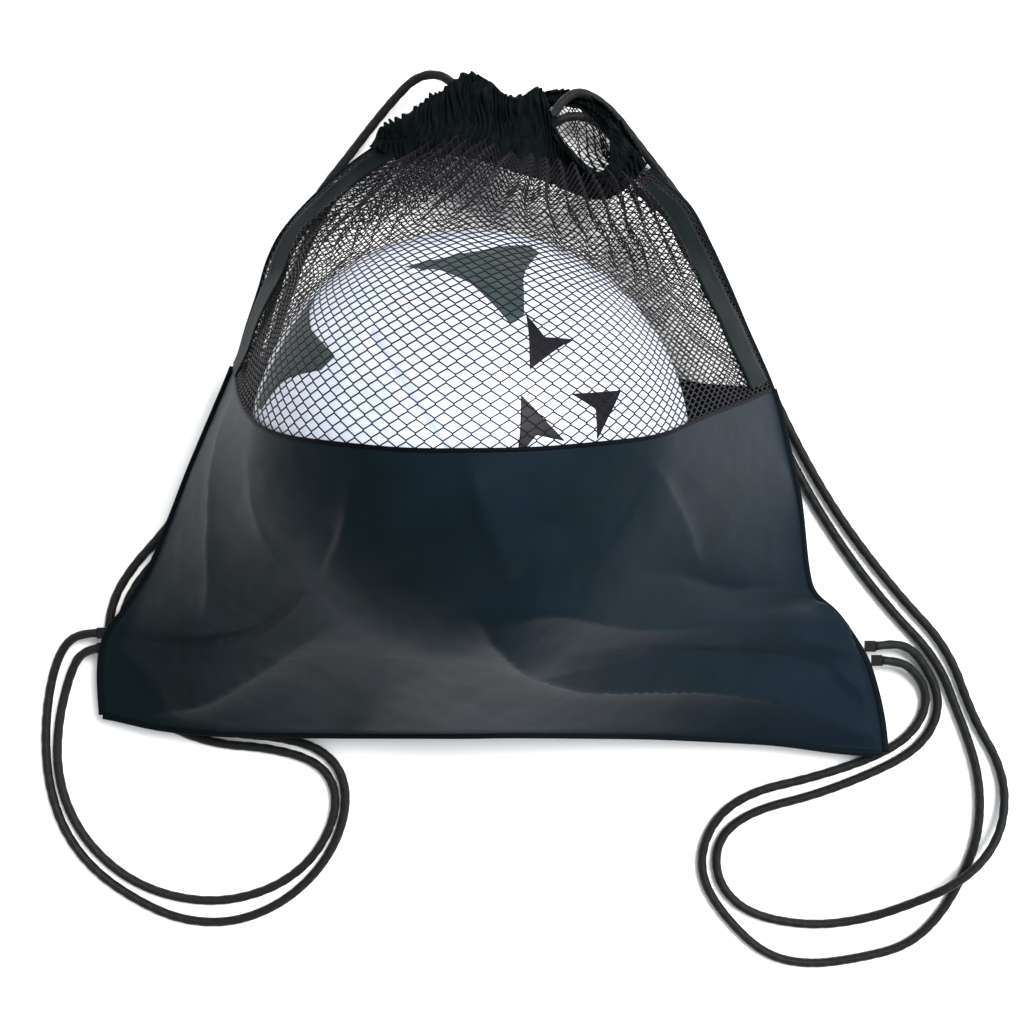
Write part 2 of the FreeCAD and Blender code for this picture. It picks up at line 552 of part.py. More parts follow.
def build_valve():
    """Rubber plug through the cover and the bladder, on the ball's X axis."""
    body = new_body("ball_valve")
    sketch = new_sketch(body, "ball_valve_section", "XY_Plane")
    outer_end = BALL_RADIUS - size("valve_inset")
    inner_end = (BALL_RADIUS - size("cover_wall") - size("bladder_gap") - size("bladder_wall")
                 - size("valve_reach"))
    rectangle(sketch, (-outer_end, 0.0), (-inner_end, size("valve_diameter") / 2),
              ("-(Sizes.ball_diameter / 2 - Sizes.valve_inset)",
               "-(Sizes.ball_diameter / 2 - Sizes.cover_wall - Sizes.bladder_gap - Sizes.bladder_wall"
               " - Sizes.valve_reach)",
               None, "Sizes.valve_diameter / 2"))
    DOC.recompute()
    plug = body.newObject("PartDesign::Revolution", "ball_valve_plug")
    plug.Profile = sketch
    plug.ReferenceAxis = (sketch, ["H_Axis"])
    plug.Angle = 360.0
    DOC.recompute()
    body.Placement = FreeCAD.Placement(BALL_CENTRE, FreeCAD.Rotation())


# ---------------------------------------------------------------- cords
def cord_wire(points):
    """Straight runs joined by tangent arcs, each arc as large as its two runs allow."""
    points = [Vector(*p) for p in points]
    edges, radii = [], []
    start = points[0]
    for before, corner, after in zip(points, points[1:], points[2:]):
        into, out = corner - before, after - corner
        shorter = min(into.Length, out.Length)
        turn = into.getAngle(out)
        reach = CORNER_SHARE * shorter
        radius = reach / math.tan(turn / 2)
        radii.append(radius)
        into.normalize()
        out.normalize()
        first, last = corner - into * reach, corner + out * reach
        toward = out - into
        toward.normalize()
        depth = radius / math.cos(turn / 2) - radius
        edges.append(Part.LineSegment(start, first).toShape())
        edges.append(Part.Arc(first, corner + toward * depth, last).toShape())
        start = last
    edges.append(Part.LineSegment(start, points[-1]).toShape())
    return Part.Wire(edges), radii


def build_cord(name, route):
    wire, radii = cord_wire(route)
    radius = size("cord_diameter") / 2
    start = Vector(*route[0])
    heading = Vector(*route[1]) - start
    section = Part.Wire([Part.makeCircle(radius, start, heading)])
    tube = wire.makePipeShell([section], True, False, 1)
    volume = math.pi * radius ** 2 * wire.Length
    print(f"{name}: length {wire.Length:.1f} mm, volume ratio {tube.Volume / volume:.4f}, "
          f"radii {', '.join(f'{r:.0f}' for r in radii)}")
    add_shape(name, tube)


def build_tacks():
    """Sewn tabs that hold the cord ends at the side seams."""
    sides = (("right", RIGHT_ROUTE, RIGHT_EDGE, 1), ("left", LEFT_ROUTE, LEFT_EDGE, -1))
    for side, route, edge, sign in sides:
        for level, point in (("upper", route[0]), ("lower", route[-1])):
            reach = size("tack_width") / 2
            widest = max(abs(edge_at(edge, point[1] + shift)[0]) for shift in (-reach, reach))
            seam_x = widest + size("panel_wall") + size("seam_width") + size("tack_gap")
            box = DOC.addObject("Part::Box", f"{side}_{level}_tack")
            box.Label = f"{side}_{level}_tack"
            box.Length = abs(point[0]) - seam_x
            box.setExpression("Width", "Sizes.tack_width")
            box.setExpression("Height", "Sizes.tack_height")
            low_x = seam_x if sign > 0 else point[0]
            box.Placement = FreeCAD.Placement(
                Vector(low_x, point[1] - reach, point[2] - size("tack_height") / 2), FreeCAD.Rotation())


# ---------------------------------------------------------------- build, check and write
def sub_parts():
    for item in DOC.Objects:
        if item.TypeId in ("Part::Feature", "Part::Box", "PartDesign::Body"):
            yield item


def check_and_write():
    DOC.recompute()
    for item in DOC.Objects:
        if "Invalid" in item.State or "Error" in item.State:
            raise RuntimeError(f"{item.Name} failed: {item.State}")
    for item in sub_parts():
        if item.Shape.isNull() or not item.Shape.isValid() or item.Shape.Volume <= 0:
            raise RuntimeError(f"{item.Label} has no valid solid")
    os.makedirs("parts", exist_ok=True)
    for item in sub_parts():
        item.Shape.exportStep(f"parts/{item.Label}.step")
        bounds = item.Shape.BoundBox
        print(f"{item.Label}: {item.Shape.Volume / 1000:.2f} cm3, x {bounds.XMin:.1f} {bounds.XMax:.1f}, "
              f"y {bounds.YMin:.1f} {bounds.YMax:.1f}, z {bounds.ZMin:.1f} {bounds.ZMax:.1f}")


build_panels()
build_tapes()
build_bands()
build_edge_seams()
build_casing()
build_ball()
build_cord("left_drawcord", LEFT_ROUTE)
build_cord("right_drawcord", RIGHT_ROUTE)
build_tacks()
check_and_write()
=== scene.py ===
import math

import bpy
import numpy as np
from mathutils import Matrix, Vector


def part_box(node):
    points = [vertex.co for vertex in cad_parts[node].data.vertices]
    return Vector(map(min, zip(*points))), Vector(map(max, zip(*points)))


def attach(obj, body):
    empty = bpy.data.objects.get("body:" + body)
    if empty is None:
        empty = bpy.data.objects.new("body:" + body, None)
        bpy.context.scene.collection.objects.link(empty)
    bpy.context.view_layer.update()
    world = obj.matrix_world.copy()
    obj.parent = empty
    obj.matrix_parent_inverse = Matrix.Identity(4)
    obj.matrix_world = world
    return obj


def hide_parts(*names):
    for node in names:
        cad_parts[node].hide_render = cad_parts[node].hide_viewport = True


# Mesh ball bag lying on its back with a ball inside. Shapes are worked out in millimetres and made in metres.
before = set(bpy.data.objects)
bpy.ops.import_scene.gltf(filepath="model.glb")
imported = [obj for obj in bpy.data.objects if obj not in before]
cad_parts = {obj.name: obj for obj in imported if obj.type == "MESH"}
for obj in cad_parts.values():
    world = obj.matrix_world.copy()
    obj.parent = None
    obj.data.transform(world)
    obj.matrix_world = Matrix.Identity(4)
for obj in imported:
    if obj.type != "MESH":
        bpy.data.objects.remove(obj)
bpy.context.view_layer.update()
MM = 0.001


# ---------------------------------------------------------------- camera
LENS = 62.2
CAMERA_PLACE = (0.009, -0.042, 1.0)     # straight above the bag, looking down


def add_camera():
    data = bpy.data.cameras.new("camera")
    data.lens = LENS
    data.clip_start = 0.05
    camera = bpy.data.objects.new("camera", data)
    camera.location = CAMERA_PLACE
    bpy.context.scene.collection.objects.link(camera)
    bpy.context.scene.camera = camera


add_camera()


# ---------------------------------------------------------------- mesh helpers
def add_object(name, data):
    piece = bpy.data.objects.new(name, data)
    bpy.context.scene.collection.objects.link(piece)
    return piece


def mesh_piece(name, points, faces, uv=None):
    """Object from points in millimetres; uv gives each point's place on the flat cloth, in millimetres."""
    mesh = bpy.data.meshes.new(name)
    faces = faces.tolist() if isinstance(faces, np.ndarray) else faces
    mesh.from_pydata((points * MM).tolist(), [], faces)
    if uv is not None:
        corners = np.empty(len(mesh.loops), dtype=np.int32)
        mesh.loops.foreach_get("vertex_index", corners)
        layer = mesh.uv_layers.new(name="flat")
        layer.data.foreach_set("uv", np.asarray(uv, np.float32)[corners].ravel())
    mesh.polygons.foreach_set("use_smooth", [True] * len(mesh.polygons))
    mesh.update()
    return add_object(name, mesh)


def grid_faces(rows, columns, closed=False):
    """Quads over a grid of rows by columns; closed joins the last column to the first."""
    r = np.arange(rows - 1)[:, None]
    c = np.arange(columns if closed else columns - 1)[None, :]
    after = (c + 1) % columns
    low, high = r * columns, (r + 1) * columns
    return np.stack([low + c, low + after, high + after, high + c], -1).reshape(-1, 4)


def flat_places(across, down):
    """Places on the flat cloth, one for each pair of a row's and a column's value."""
    return np.stack(np.broadcast_arrays(across, down), -1).reshape(-1, 2)


def unit(vectors):
    return vectors / np.maximum(np.linalg.norm(vectors, axis=-1, keepdims=True), 1e-9)


def smoothstep(low, high, value):
    t = np.clip((value - low) / (high - low), 0, 1)
    return t * t * (3 - 2 * t)


def catmull(points, count):
    """Smooth line through points, as count points."""
    p = np.asarray(points, float)
    p = np.vstack([2 * p[0] - p[1], p, 2 * p[-1] - p[-2]])
    t = np.linspace(0, len(points) - 1 - 1e-9, count)
    i, f = t.astype(int), (t % 1)[:, None]
    a, b, c, d = p[i], p[i + 1], p[i + 2], p[i + 3]
    square, cube = 2 * a - 5 * b + 4 * c - d, 3 * b - a - 3 * c + d
    return 0.5 * (2 * b + (c - a) * f + square * f ** 2 + cube * f ** 3)


NOISE_CELLS = 64


def value_noise(x, y, seed):
    """Smooth noise from -1 to 1 at positions measured in cells; it repeats after NOISE_CELLS cells."""
    cells = np.random.default_rng(seed).uniform(-1, 1, (NOISE_CELLS, NOISE_CELLS))
    xi, yi = np.floor(x).astype(int), np.floor(y).astype(int)
    xf, yf = x - xi, y - yi
    xf, yf = xf * xf * (3 - 2 * xf), yf * yf * (3 - 2 * yf)
    x1, x2 = xi % NOISE_CELLS, (xi + 1) % NOISE_CELLS
    y1, y2 = yi % NOISE_CELLS, (yi + 1) % NOISE_CELLS
    low = cells[y1, x1] * (1 - xf) + cells[y1, x2] * xf
    high = cells[y2, x1] * (1 - xf) + cells[y2, x2] * xf
    return low * (1 - yf) + high * yf


def thicken(piece, thickness, offset=0.0):
    """Give a sheet its wall, kept in its mesh."""
    modifier = piece.modifiers.new("wall", "SOLIDIFY")
    modifier.thickness = thickness * MM
    modifier.offset = offset
    bake_modifiers(piece)


def bake_modifiers(piece):
    """Put what the modifiers make into the piece's own mesh."""
    graph = bpy.context.evaluated_depsgraph_get()
    mesh = bpy.data.meshes.new_from_object(piece.evaluated_get(graph))
    piece.modifiers.clear()
    piece.data = mesh


# ---------------------------------------------------------------- cords
FLOOR_Z = 2.6                 # height of a cord's axis on the floor
# Points of each cord's axis, from one end to the other; one with no height of its own is on the floor.
RIGHT_ROUTE = [
    (213.5, -118.2, 13.2), (222, -117.2, 11), (230.5, -118.2, 8), (238, -122.8, 5), (244.3, -131.5, 3.2),
    (250, -142), (251.6, -154.8), (246.5, -168.5), (234.5, -180.5), (212.5, -191.5), (181, -203.5),
    (150, -211), (131, -222.5), (124.5, -238.5), (129, -257), (146, -271.5), (179, -277.5),
    (210, -273.5, 3.5), (235, -263.5, 9), (257, -253, 12.8), (274, -239.5, 12.8), (285.5, -223, 8),
    (289.5, -203, 3.2), (285, -183.5), (274, -164.6), (266.5, -147), (260.5, -130), (250, -112.5),
    (233.5, -95), (212.5, -69.5), (192, -41), (173.5, -9), (157.5, 24), (142, 58), (129.5, 90),
    (115, 120, 3), (97, 144.5, 4.5), (81, 163.5, 9), (64.5, 183, 16), (47.5, 191.5, 22.5), (37, 183, 28),
    (31.5, 172.5, 33), (22.5, 167.3, 39), (11, 167, 45), (-1.2, 167, 42.8), (-9.7, 167, 31.7),
    (-7.8, 167, 17.8), (3.3, 167, 9.3), (17.2, 167, 11.2), (28, 169.5, 18.8), (40, 177, 21.8),
    (55, 177.5, 15.5), (70.5, 164, 7.5), (89.5, 142.5, 3.2), (109, 118), (123.2, 88), (135.8, 56),
    (151, 21.8), (167, -12.3), (185.2, -45), (205.5, -75), (227, -101.5), (243.5, -118.5), (254, -134.5),
    (260.3, -151.5), (267, -168.5), (273, -187), (275.5, -208), (273, -230), (264.5, -251), (251, -273.5),
    (233, -289), (207, -295.5), (178, -299.5), (153.5, -294), (133, -275), (118.5, -254), (117, -234),
    (127, -214), (147, -201), (178, -194), (208.5, -184.5), (229, -174.5), (239.8, -163.8),
    (244.6, -152.2), (243.2, -141.6, 3.4), (236.8, -132.8, 6), (228.5, -127.2, 9.2), (217.5, -126.3, 12)]
LEFT_ROUTE = [
    (-222.4, -111, 11), (-232, -111.4, 8), (-242, -117, 4.5), (-249, -131.5), (-253, -153), (-254, -178),
    (-251, -202), (-242.5, -225.5), (-226, -246.5), (-203, -262.5), (-178, -274), (-150, -276),
    (-124, -267), (-103, -250.5), (-89, -230), (-83, -207.5), (-86.5, -189), (-99, -176.5),
    (-121, -170.5), (-149, -168.5), (-173, -161.5), (-192, -147.5), (-206, -128), (-212, -106.5),
    (-205, -87), (-190.2, -69), (-173.4, -50), (-157.4, -26), (-143.6, 3.5), (-130.8, 36), (-120, 68),
    (-110.8, 97), (-99.3, 121.8), (-85.5, 143.5, 3.2), (-67, 161, 5.5), (-47, 172.5, 10.5),
    (-28.5, 178, 16.5), (-13, 178.3, 19), (-1.2, 178, 11.2), (12.7, 178, 9.3), (23.8, 178, 17.8),
    (25.7, 178, 31.7), (17.2, 178, 42.8), (3.3, 178, 44.7), (-7.8, 178.5, 36.2), (-17.5, 186.5, 33),
    (-28, 198.5, 28.5), (-43, 199, 21.5), (-57, 186.5, 14.5), (-70, 172, 9.5), (-83.5, 155.5, 6),
    (-98, 138, 4), (-111, 116, 3), (-121.8, 88), (-132, 54), (-143.5, 22), (-156.8, -8), (-172, -35),
    (-189.5, -57.5), (-204.5, -74), (-215.5, -92), (-219, -113.5), (-214.5, -134.5), (-201.5, -152.5),
    (-182, -166), (-157, -174.5), (-128.5, -176.5), (-104.5, -182.5), (-92.5, -192.5), (-88.8, -208),
    (-94.5, -227), (-107.5, -244.5), (-128, -257.5), (-155, -264), (-183, -261), (-208, -250.5),
    (-228.5, -232.5), (-241.5, -211), (-247.5, -187), (-246.5, -163), (-242.5, -144), (-238, -131, 4),
    (-232, -121.8, 8), (-222.4, -119.5, 11)]
CORD_DIAMETER = 5.0
CORD_STEP = 0.7               # spacing of the rings of a cord's mesh
CORD_AROUND = 20              # points in a ring
STRANDS = 4                   # braid strands each way round a cord
BRAID_PITCH = 9.0             # length in which a strand moves over to its neighbour's place
STRAND_LOW, STRAND_RISE = 0.965, 0.05   # shares of the cord's radius


def route_line(name, route):
    """Points along the smooth line that has the route as its control points."""
    curve = bpy.data.curves.new(name + "_line", "CURVE")
    curve.dimensions = "3D"
    spline = curve.splines.new("NURBS")
    spline.points.add(len(route) - 1)
    for point, place in zip(spline.points, route):
        x, y, z = (*place, FLOOR_Z)[:3]
        point.co = (x * MM, y * MM, z * MM, 1.0)
    spline.order_u = 3
    spline.use_endpoint_u = True
    spline.resolution_u = 10
    line = add_object(name + "_line", curve)
    graph = bpy.context.evaluated_depsgraph_get()
    mesh = bpy.data.meshes.new_from_object(line.evaluated_get(graph))
    points = np.array([v.co[:] for v in mesh.vertices])
    bpy.data.objects.remove(line)
    return points


def lengths_to(points):
    """Length along a chain of points up to each of them."""
    return np.concatenate([[0], np.cumsum(np.linalg.norm(np.diff(points, axis=0), axis=1))])


def along(points, step):
    """Points evenly spaced along a chain of points."""
    lengths = lengths_to(points)
    places = np.linspace(0, lengths[-1], int(lengths[-1] / step) + 1)
    return np.stack([np.interp(places, lengths, points[:, i]) for i in range(3)], -1), places


def carried_frames(points):
    """Two directions across a line at each point, turned as little as possible from point to point."""
    forward = unit(np.gradient(points, axis=0))
    side = np.empty_like(points)
    side[0] = unit(np.cross(forward[0], (0.0, 0.0, 1.0)))
    for i in range(1, len(points)):
        kept = side[i - 1] - forward[i] * np.dot(side[i - 1], forward[i])
        side[i] = kept / np.linalg.norm(kept)
    return side, np.cross(forward, side)


def braided_cord(name, node, route):
    path = route_line(name, route)
    line, places = along(path / MM, CORD_STEP)
    side, up = carried_frames(line)
    turn = np.linspace(0, 2 * math.pi, CORD_AROUND, endpoint=False)[None, :]
    phase = 2 * math.pi * places[:, None] / BRAID_PITCH
    strands = np.maximum(np.cos(STRANDS * turn + phase), np.cos(STRANDS * turn - phase))
    radius = CORD_DIAMETER / 2 * (STRAND_LOW + STRAND_RISE * strands)
    rings = line[:, None] + radius[..., None] * (np.cos(turn)[..., None] * side[:, None]
                                                 + np.sin(turn)[..., None] * up[:, None])
    count = len(line)
    uv = flat_places(turn * CORD_DIAMETER / 2, places[:, None])
    points = np.vstack([rings.reshape(-1, 3), line[:1], line[-1:]])
    uv = np.vstack([uv, uv[:1], uv[-1:]])
    faces = grid_faces(count, CORD_AROUND, closed=True)[:, ::-1].tolist()
    last_ring, start_point = (count - 1) * CORD_AROUND, count * CORD_AROUND
    for i in range(CORD_AROUND):
        after = (i + 1) % CORD_AROUND
        faces.append([i, after, start_point])
        faces.append([last_ring + after, last_ring + i, start_point + 1])
    piece = mesh_piece(name, points, faces, uv)
    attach(piece, "bag")
    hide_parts(node)
    return piece


right_cord = braided_cord("right_cord", "right_drawcord", RIGHT_ROUTE)
left_cord = braided_cord("left_cord", "left_drawcord", LEFT_ROUTE)


# ---------------------------------------------------------------- shape of the bag's cloth
BALL_LOW, BALL_HIGH = (np.array(corner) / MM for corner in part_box("ball_cover"))
BALL = (BALL_LOW + BALL_HIGH) / 2
BALL_RADIUS = (BALL_HIGH[0] - BALL_LOW[0]) / 2
SKIN = BALL_RADIUS + 1.6                # the cloth's radius where it lies on the ball
FLAT_WIDTH = 445.0                      # width that the panels were cut to
NYLON_HEIGHT = 245.0
NET_HEIGHT = 245.0
CLOTH_FLOOR = 1.0                       # the lowest that the back's cloth lies
SEAM_V = 0.5                            # share of the way up the cloth where the nylon meets the net
FOOT_TOP, NECK_TOP, NECK_RADIUS, FOOT_RADIUS = 48.0, 47.0, 24.0, 60.0
NECK_X, FOOT_Y, NECK_Y = 9.0, -163.0, 152.0
NECK_RISE = 9.0                         # how far the back's middle rises at the drawn neck
FOOT_RISE_V = 0.34                      # how far up the cloth the back still rises to the bottom seam
# The bag's edge in plan, from the foot to the casing: y, x, height.
LEFT_EDGE = [
    (-156, -219, 12), (-138, -220, 12.5), (-122, -219, 13), (-110, -215, 13), (-98, -206, 13.5),
    (-78, -193, 14), (-48, -180, 16), (-22, -169.5, 18.5), (2, -159, 21), (38, -143, 26), (59, -136, 29),
    (79, -129, 31), (95, -124, 32), (110, -116.5, 32), (126, -103, 32), (140, -88, 31.5), (150, -76, 31),
    (160, -62, 30)]
RIGHT_EDGE = [
    (-178, 219, 12), (-160, 217, 12), (-142, 213, 12.5), (-126, 207.5, 13.5), (-112, 199, 15),
    (-100, 190, 16), (-89, 178, 17), (-74, 173.5, 17.5), (-37, 169, 20), (-7, 162, 24), (23, 154, 28),
    (59, 138, 31), (80, 129, 32), (102, 119, 32), (123, 108, 32), (136, 95, 31.5), (146, 84, 31),
    (156, 72, 30)]
# Rows across the cloth in plan: share of the half width from the middle (-1 to 1), then y.
FOOT_ROW = [(-1.0, -156), (-0.86, -163), (-0.68, -166), (-0.35, -165), (0.0, -163), (0.4, -166),
            (0.72, -171), (0.9, -177), (1.0, -178)]
SEAM_ROW = [(-1.0, 38), (-0.82, 24), (-0.6, 8), (-0.35, -8), (-0.1, -15.5), (0.1, -15), (0.35, -8),
            (0.6, 6), (0.82, 16), (1.0, 25)]
HEM_ROW = [(-1.0, 160), (-0.8, 157), (-0.55, 153), (-0.25, 154), (0.0, 148), (0.25, 142), (0.5, 135),
           (0.68, 131), (0.84, 136), (1.0, 146)]
BACK_SEAM_ROW = [(-1.0, 38), (-0.5, 56), (0.0, 60), (0.5, 42), (0.75, 28), (1.0, 25)]
BACK_HEM_ROW = [(-1.0, 157), (-0.6, 169), (-0.2, 177), (0.1, 184), (0.4, 188), (0.7, 182), (1.0, 150)]
CORNER = 0.045                          # how far along a row its corners are rounded


def row_at(row, u):
    shares, values = zip(*row)
    return np.interp(u, shares, values)


def smooth_row(row, u):
    """Row value with its corners rounded."""
    offsets = np.linspace(-2, 2, 9) * CORNER
    weights = np.exp(-(offsets / CORNER) ** 2 / 2)
    total = sum(w * row_at(row, u + o) for w, o in zip(weights, offsets))
    return total / weights.sum()


def edge_table(edge):
    """An edge as a fine line, in order of y."""
    fine = catmull(edge, 400)
    return fine[np.argsort(fine[:, 0])]


LEFT_LINE, RIGHT_LINE = edge_table(LEFT_EDGE), edge_table(RIGHT_EDGE)


def edge_at(line, y):
    return np.interp(y, line[:, 0], line[:, 1]), np.interp(y, line[:, 0], line[:, 2])


def tangent_on_circle(y, z, centre_y, centre_z, radius, turn):
    """Point where a line from (y, z) touches a circle; turn is +1 or -1."""
    dy, dz = centre_y - y, centre_z - z
    distance = np.hypot(dy, dz)
    heading = np.arctan2(dz, dy) + turn * np.arcsin(np.clip(radius / distance, 0, 1))
    reach = np.sqrt(np.maximum(0, distance ** 2 - radius ** 2))
    return y + reach * np.cos(heading), z + reach * np.sin(heading)


FOOT_TOUCH = tangent_on_circle(FOOT_Y, FOOT_TOP, BALL[1], BALL[2], SKIN, 1)
NECK_TOUCH = tangent_on_circle(NECK_Y, NECK_TOP, BALL[1], BALL[2], SKIN, -1)


def crown_at(y):
    """Top height, radius and x of the arc that the front has over its middle at y."""
    foot = np.clip((y - FOOT_Y) / (FOOT_TOUCH[0] - FOOT_Y), -0.2, 1)
    neck = np.clip((y - NECK_TOUCH[0]) / (NECK_Y - NECK_TOUCH[0]), 0, 1.2)
    from_centre = np.clip(y, FOOT_TOUCH[0], NECK_TOUCH[0]) - BALL[1]
    on_ball = np.sqrt(np.maximum(SKIN ** 2 - from_centre ** 2, 1.0))
    top = BALL[2] + on_ball
    radius = on_ball
    low = y < FOOT_TOUCH[0]
    top = np.where(low, FOOT_TOP + (FOOT_TOUCH[1] - FOOT_TOP) * foot, top)
    radius = np.where(low, FOOT_RADIUS + (radius - FOOT_RADIUS) * np.maximum(foot, 0), radius)
    high = y > NECK_TOUCH[0]
    top = np.where(high, NECK_TOUCH[1] + (NECK_TOP - NECK_TOUCH[1]) * neck, top)
    radius = np.where(high, on_ball + (NECK_RADIUS - on_ball) * np.minimum(neck, 1), radius)
    middle = np.where(high, BALL[0] + (NECK_X - BALL[0]) * neck ** 2, BALL[0])
    return top, radius, middle


def front_at(share, y):
    """Points at a share of the way across the line, arc, line section that the front has at y."""
    left_x, left_z = edge_at(LEFT_LINE, y)
    right_x, right_z = edge_at(RIGHT_LINE, y)
    top, radius, middle = crown_at(y)
    centre = top - radius
    x1, z1 = tangent_on_circle(left_x, left_z, middle, centre, radius, 1)
    x2, z2 = tangent_on_circle(-right_x, right_z, -middle, centre, radius, 1)
    x2 = -x2
    start, stop = np.arctan2(z1 - centre, x1 - middle), np.arctan2(z2 - centre, x2 - middle)
    first, last = np.hypot(x1 - left_x, z1 - left_z), np.hypot(right_x - x2, right_z - z2)
    arc = radius * (start - stop)
    run = share * (first + arc + last)
    t = run / np.maximum(first, 1e-6)
    line_1 = (left_x + (x1 - left_x) * t, left_z + (z1 - left_z) * t)
    angle = start - (run - first) / radius
    bend = (middle + radius * np.cos(angle), centre + radius * np.sin(angle))
    t = (run - first - arc) / np.maximum(last, 1e-6)
    line_2 = (x2 + (right_x - x2) * t, z2 + (right_z - z2) * t)
    x = np.where(run <= first, line_1[0], np.where(run <= first + arc, bend[0], line_2[0]))
    z = np.where(run <= first, line_1[1], np.where(run <= first + arc, bend[1], line_2[1]))
    return np.stack([x, np.broadcast_to(y, x.shape), z], -1)


def rows_between(u, v, seam_row, hem_row):
    foot, seam, hem = smooth_row(FOOT_ROW, u), smooth_row(seam_row, u), smooth_row(hem_row, u)
    low = foot + (seam - foot) * v / SEAM_V
    high = seam + (hem - seam) * (v - SEAM_V) / (1 - SEAM_V)
    return np.where(v <= SEAM_V, low, high)


def front_surface(u, v):
    return front_at((u + 1) / 2, rows_between(u, v, SEAM_ROW, HEM_ROW))


def lower_at(u, y):
    """The back: flat on the floor in the middle, rising to the edges and gathered at the neck."""
    left_x, left_z = edge_at(LEFT_LINE, y)
    right_x, right_z = edge_at(RIGHT_LINE, y)
    x = left_x + (right_x - left_x) * (u + 1) / 2
    edge_z = left_z + (right_z - left_z) * (u + 1) / 2
    drawn = smoothstep(NECK_TOUCH[0], NECK_Y + 20, y)
    floor_z = CLOTH_FLOOR + NECK_RISE * drawn
    return np.stack([x, y, floor_z + (edge_z - floor_z) * np.abs(u) ** 3], -1)


def back_surface(u, v):
    """The back, brought up to the front's edge at the foot, where the two are sewn together."""
    point = lower_at(u, rows_between(u, v, BACK_SEAM_ROW, BACK_HEM_ROW))
    rise = np.clip(1 - v / FOOT_RISE_V, 0, 1) ** 2
    at_foot = np.zeros_like(v)
    foot = front_surface(u, at_foot) - lower_at(u, rows_between(u, at_foot, BACK_SEAM_ROW, BACK_HEM_ROW))
    return point + foot * rise[..., None]


COLUMNS, ROWS = 446, 241                # points of a fabric table, about 1 mm and 2 mm apart
SEAM_AT = int(SEAM_V * (ROWS - 1))      # the table's row on the nylon to net seam


def fabric_table(surface, side, spare_over):
    """Places of the flat cloth's points, row by row, with the spare cloth's share at each point.

    The columns are evenly spaced on the flat cloth. Spare cloth is taken up where spare_over says."""
    u = np.linspace(-1, 1, 901)
    v = np.linspace(0, 1, ROWS)
    points = surface(*np.meshgrid(u, v))
    spacing = np.linalg.norm(np.diff(points, axis=1), axis=2)
    middle = (points[:, 1:] + points[:, :-1]) / 2
    weight = spare_over(middle)
    spare = FLAT_WIDTH - spacing.sum(1)
    extra = np.where(spare > 0, spare, 0) / np.maximum((spacing * weight).sum(1), 1e-6)
    density = 1 + extra[:, None] * weight
    cloth = np.concatenate([np.zeros((ROWS, 1)), np.cumsum(spacing * density, 1)], 1)
    cloth /= cloth[:, -1:]
    flat = np.linspace(0, 1, COLUMNS)
    table = np.empty((ROWS, COLUMNS, 3))
    dense = np.empty((ROWS, COLUMNS))
    edge_run = np.empty((ROWS, COLUMNS))
    runs = np.concatenate([np.zeros((ROWS, 1)), np.cumsum(spacing, 1)], 1)
    for i in range(ROWS):
        at = np.interp(flat, cloth[i], u)
        for k in range(3):
            table[i, :, k] = np.interp(at, u, points[i, :, k])
        dense[i] = np.interp(at, (u[1:] + u[:-1]) / 2, density[i])
        run = np.interp(at, u, runs[i])
        edge_run[i] = np.minimum(run, runs[i, -1] - run)
    table, (dense, edge_run) = even_rows(table, [dense, edge_run])
    return table, dense, edge_run, normals_of(table) * side


def even_rows(table, others):
    """Space the rows of the nylon and of the net evenly along each column."""
    moved, kept = table.copy(), [other.copy() for other in others]
    for first, last in ((0, SEAM_AT), (SEAM_AT, ROWS - 1)):
        part = table[first:last + 1]
        run = np.concatenate([np.zeros((1, COLUMNS)),
                              np.cumsum(np.linalg.norm(np.diff(part, axis=0), axis=2), 0)])
        wanted = np.linspace(0, 1, last - first + 1)
        for j in range(COLUMNS):
            share = run[:, j] / run[-1, j]
            for k in range(3):
                moved[first:last + 1, j, k] = np.interp(wanted, share, part[:, j, k])
            for new, old in zip(kept, others):
                new[first:last + 1, j] = np.interp(wanted, share, old[first:last + 1, j])
    return moved, kept


def normals_of(table):
    return unit(np.cross(np.gradient(table, axis=1), np.gradient(table, axis=0)))


def off_ball(points):
    """1 away from the ball, nearly 0 where the cloth lies on it."""
    gap = np.linalg.norm(points - BALL, axis=-1) - SKIN
    return 0.04 + 0.96 * smoothstep(0.5, 14, gap)


def anywhere(points):
    return np.ones(points.shape[:-1])


GATHER_LENGTH = 21.0                    # of one gather of the net, on the flat cloth
GATHER_LIMIT = 4.6                      # most that half a gather's height is, before it varies


def pleats(dense, length, seed, first_v, last_v):
    """Height of the gathers that the spare cloth stands up in, for pleats of a length on the flat cloth."""
    v, flat = np.meshgrid(np.linspace(0, 1, ROWS), np.linspace(0, FLAT_WIDTH, COLUMNS), indexing="ij")
    wander = 5.0 * value_noise(flat / 40, v * 5, seed) + 2.0 * value_noise(flat / 14, v * 9, seed + 1)
    phase = 2 * math.pi * (flat + wander) / length
    height = length / dense * np.sqrt(np.maximum(dense ** 2 - 1, 0)) / 4
    height = np.minimum(height, GATHER_LIMIT) * (0.75 + 0.45 * value_noise(flat / 22, v * 7, seed + 2))
    ends = smoothstep(0, 12, np.minimum(flat, FLAT_WIDTH - flat))
    return height * (1 + np.cos(phase)) * ends * smoothstep(first_v, last_v, v)


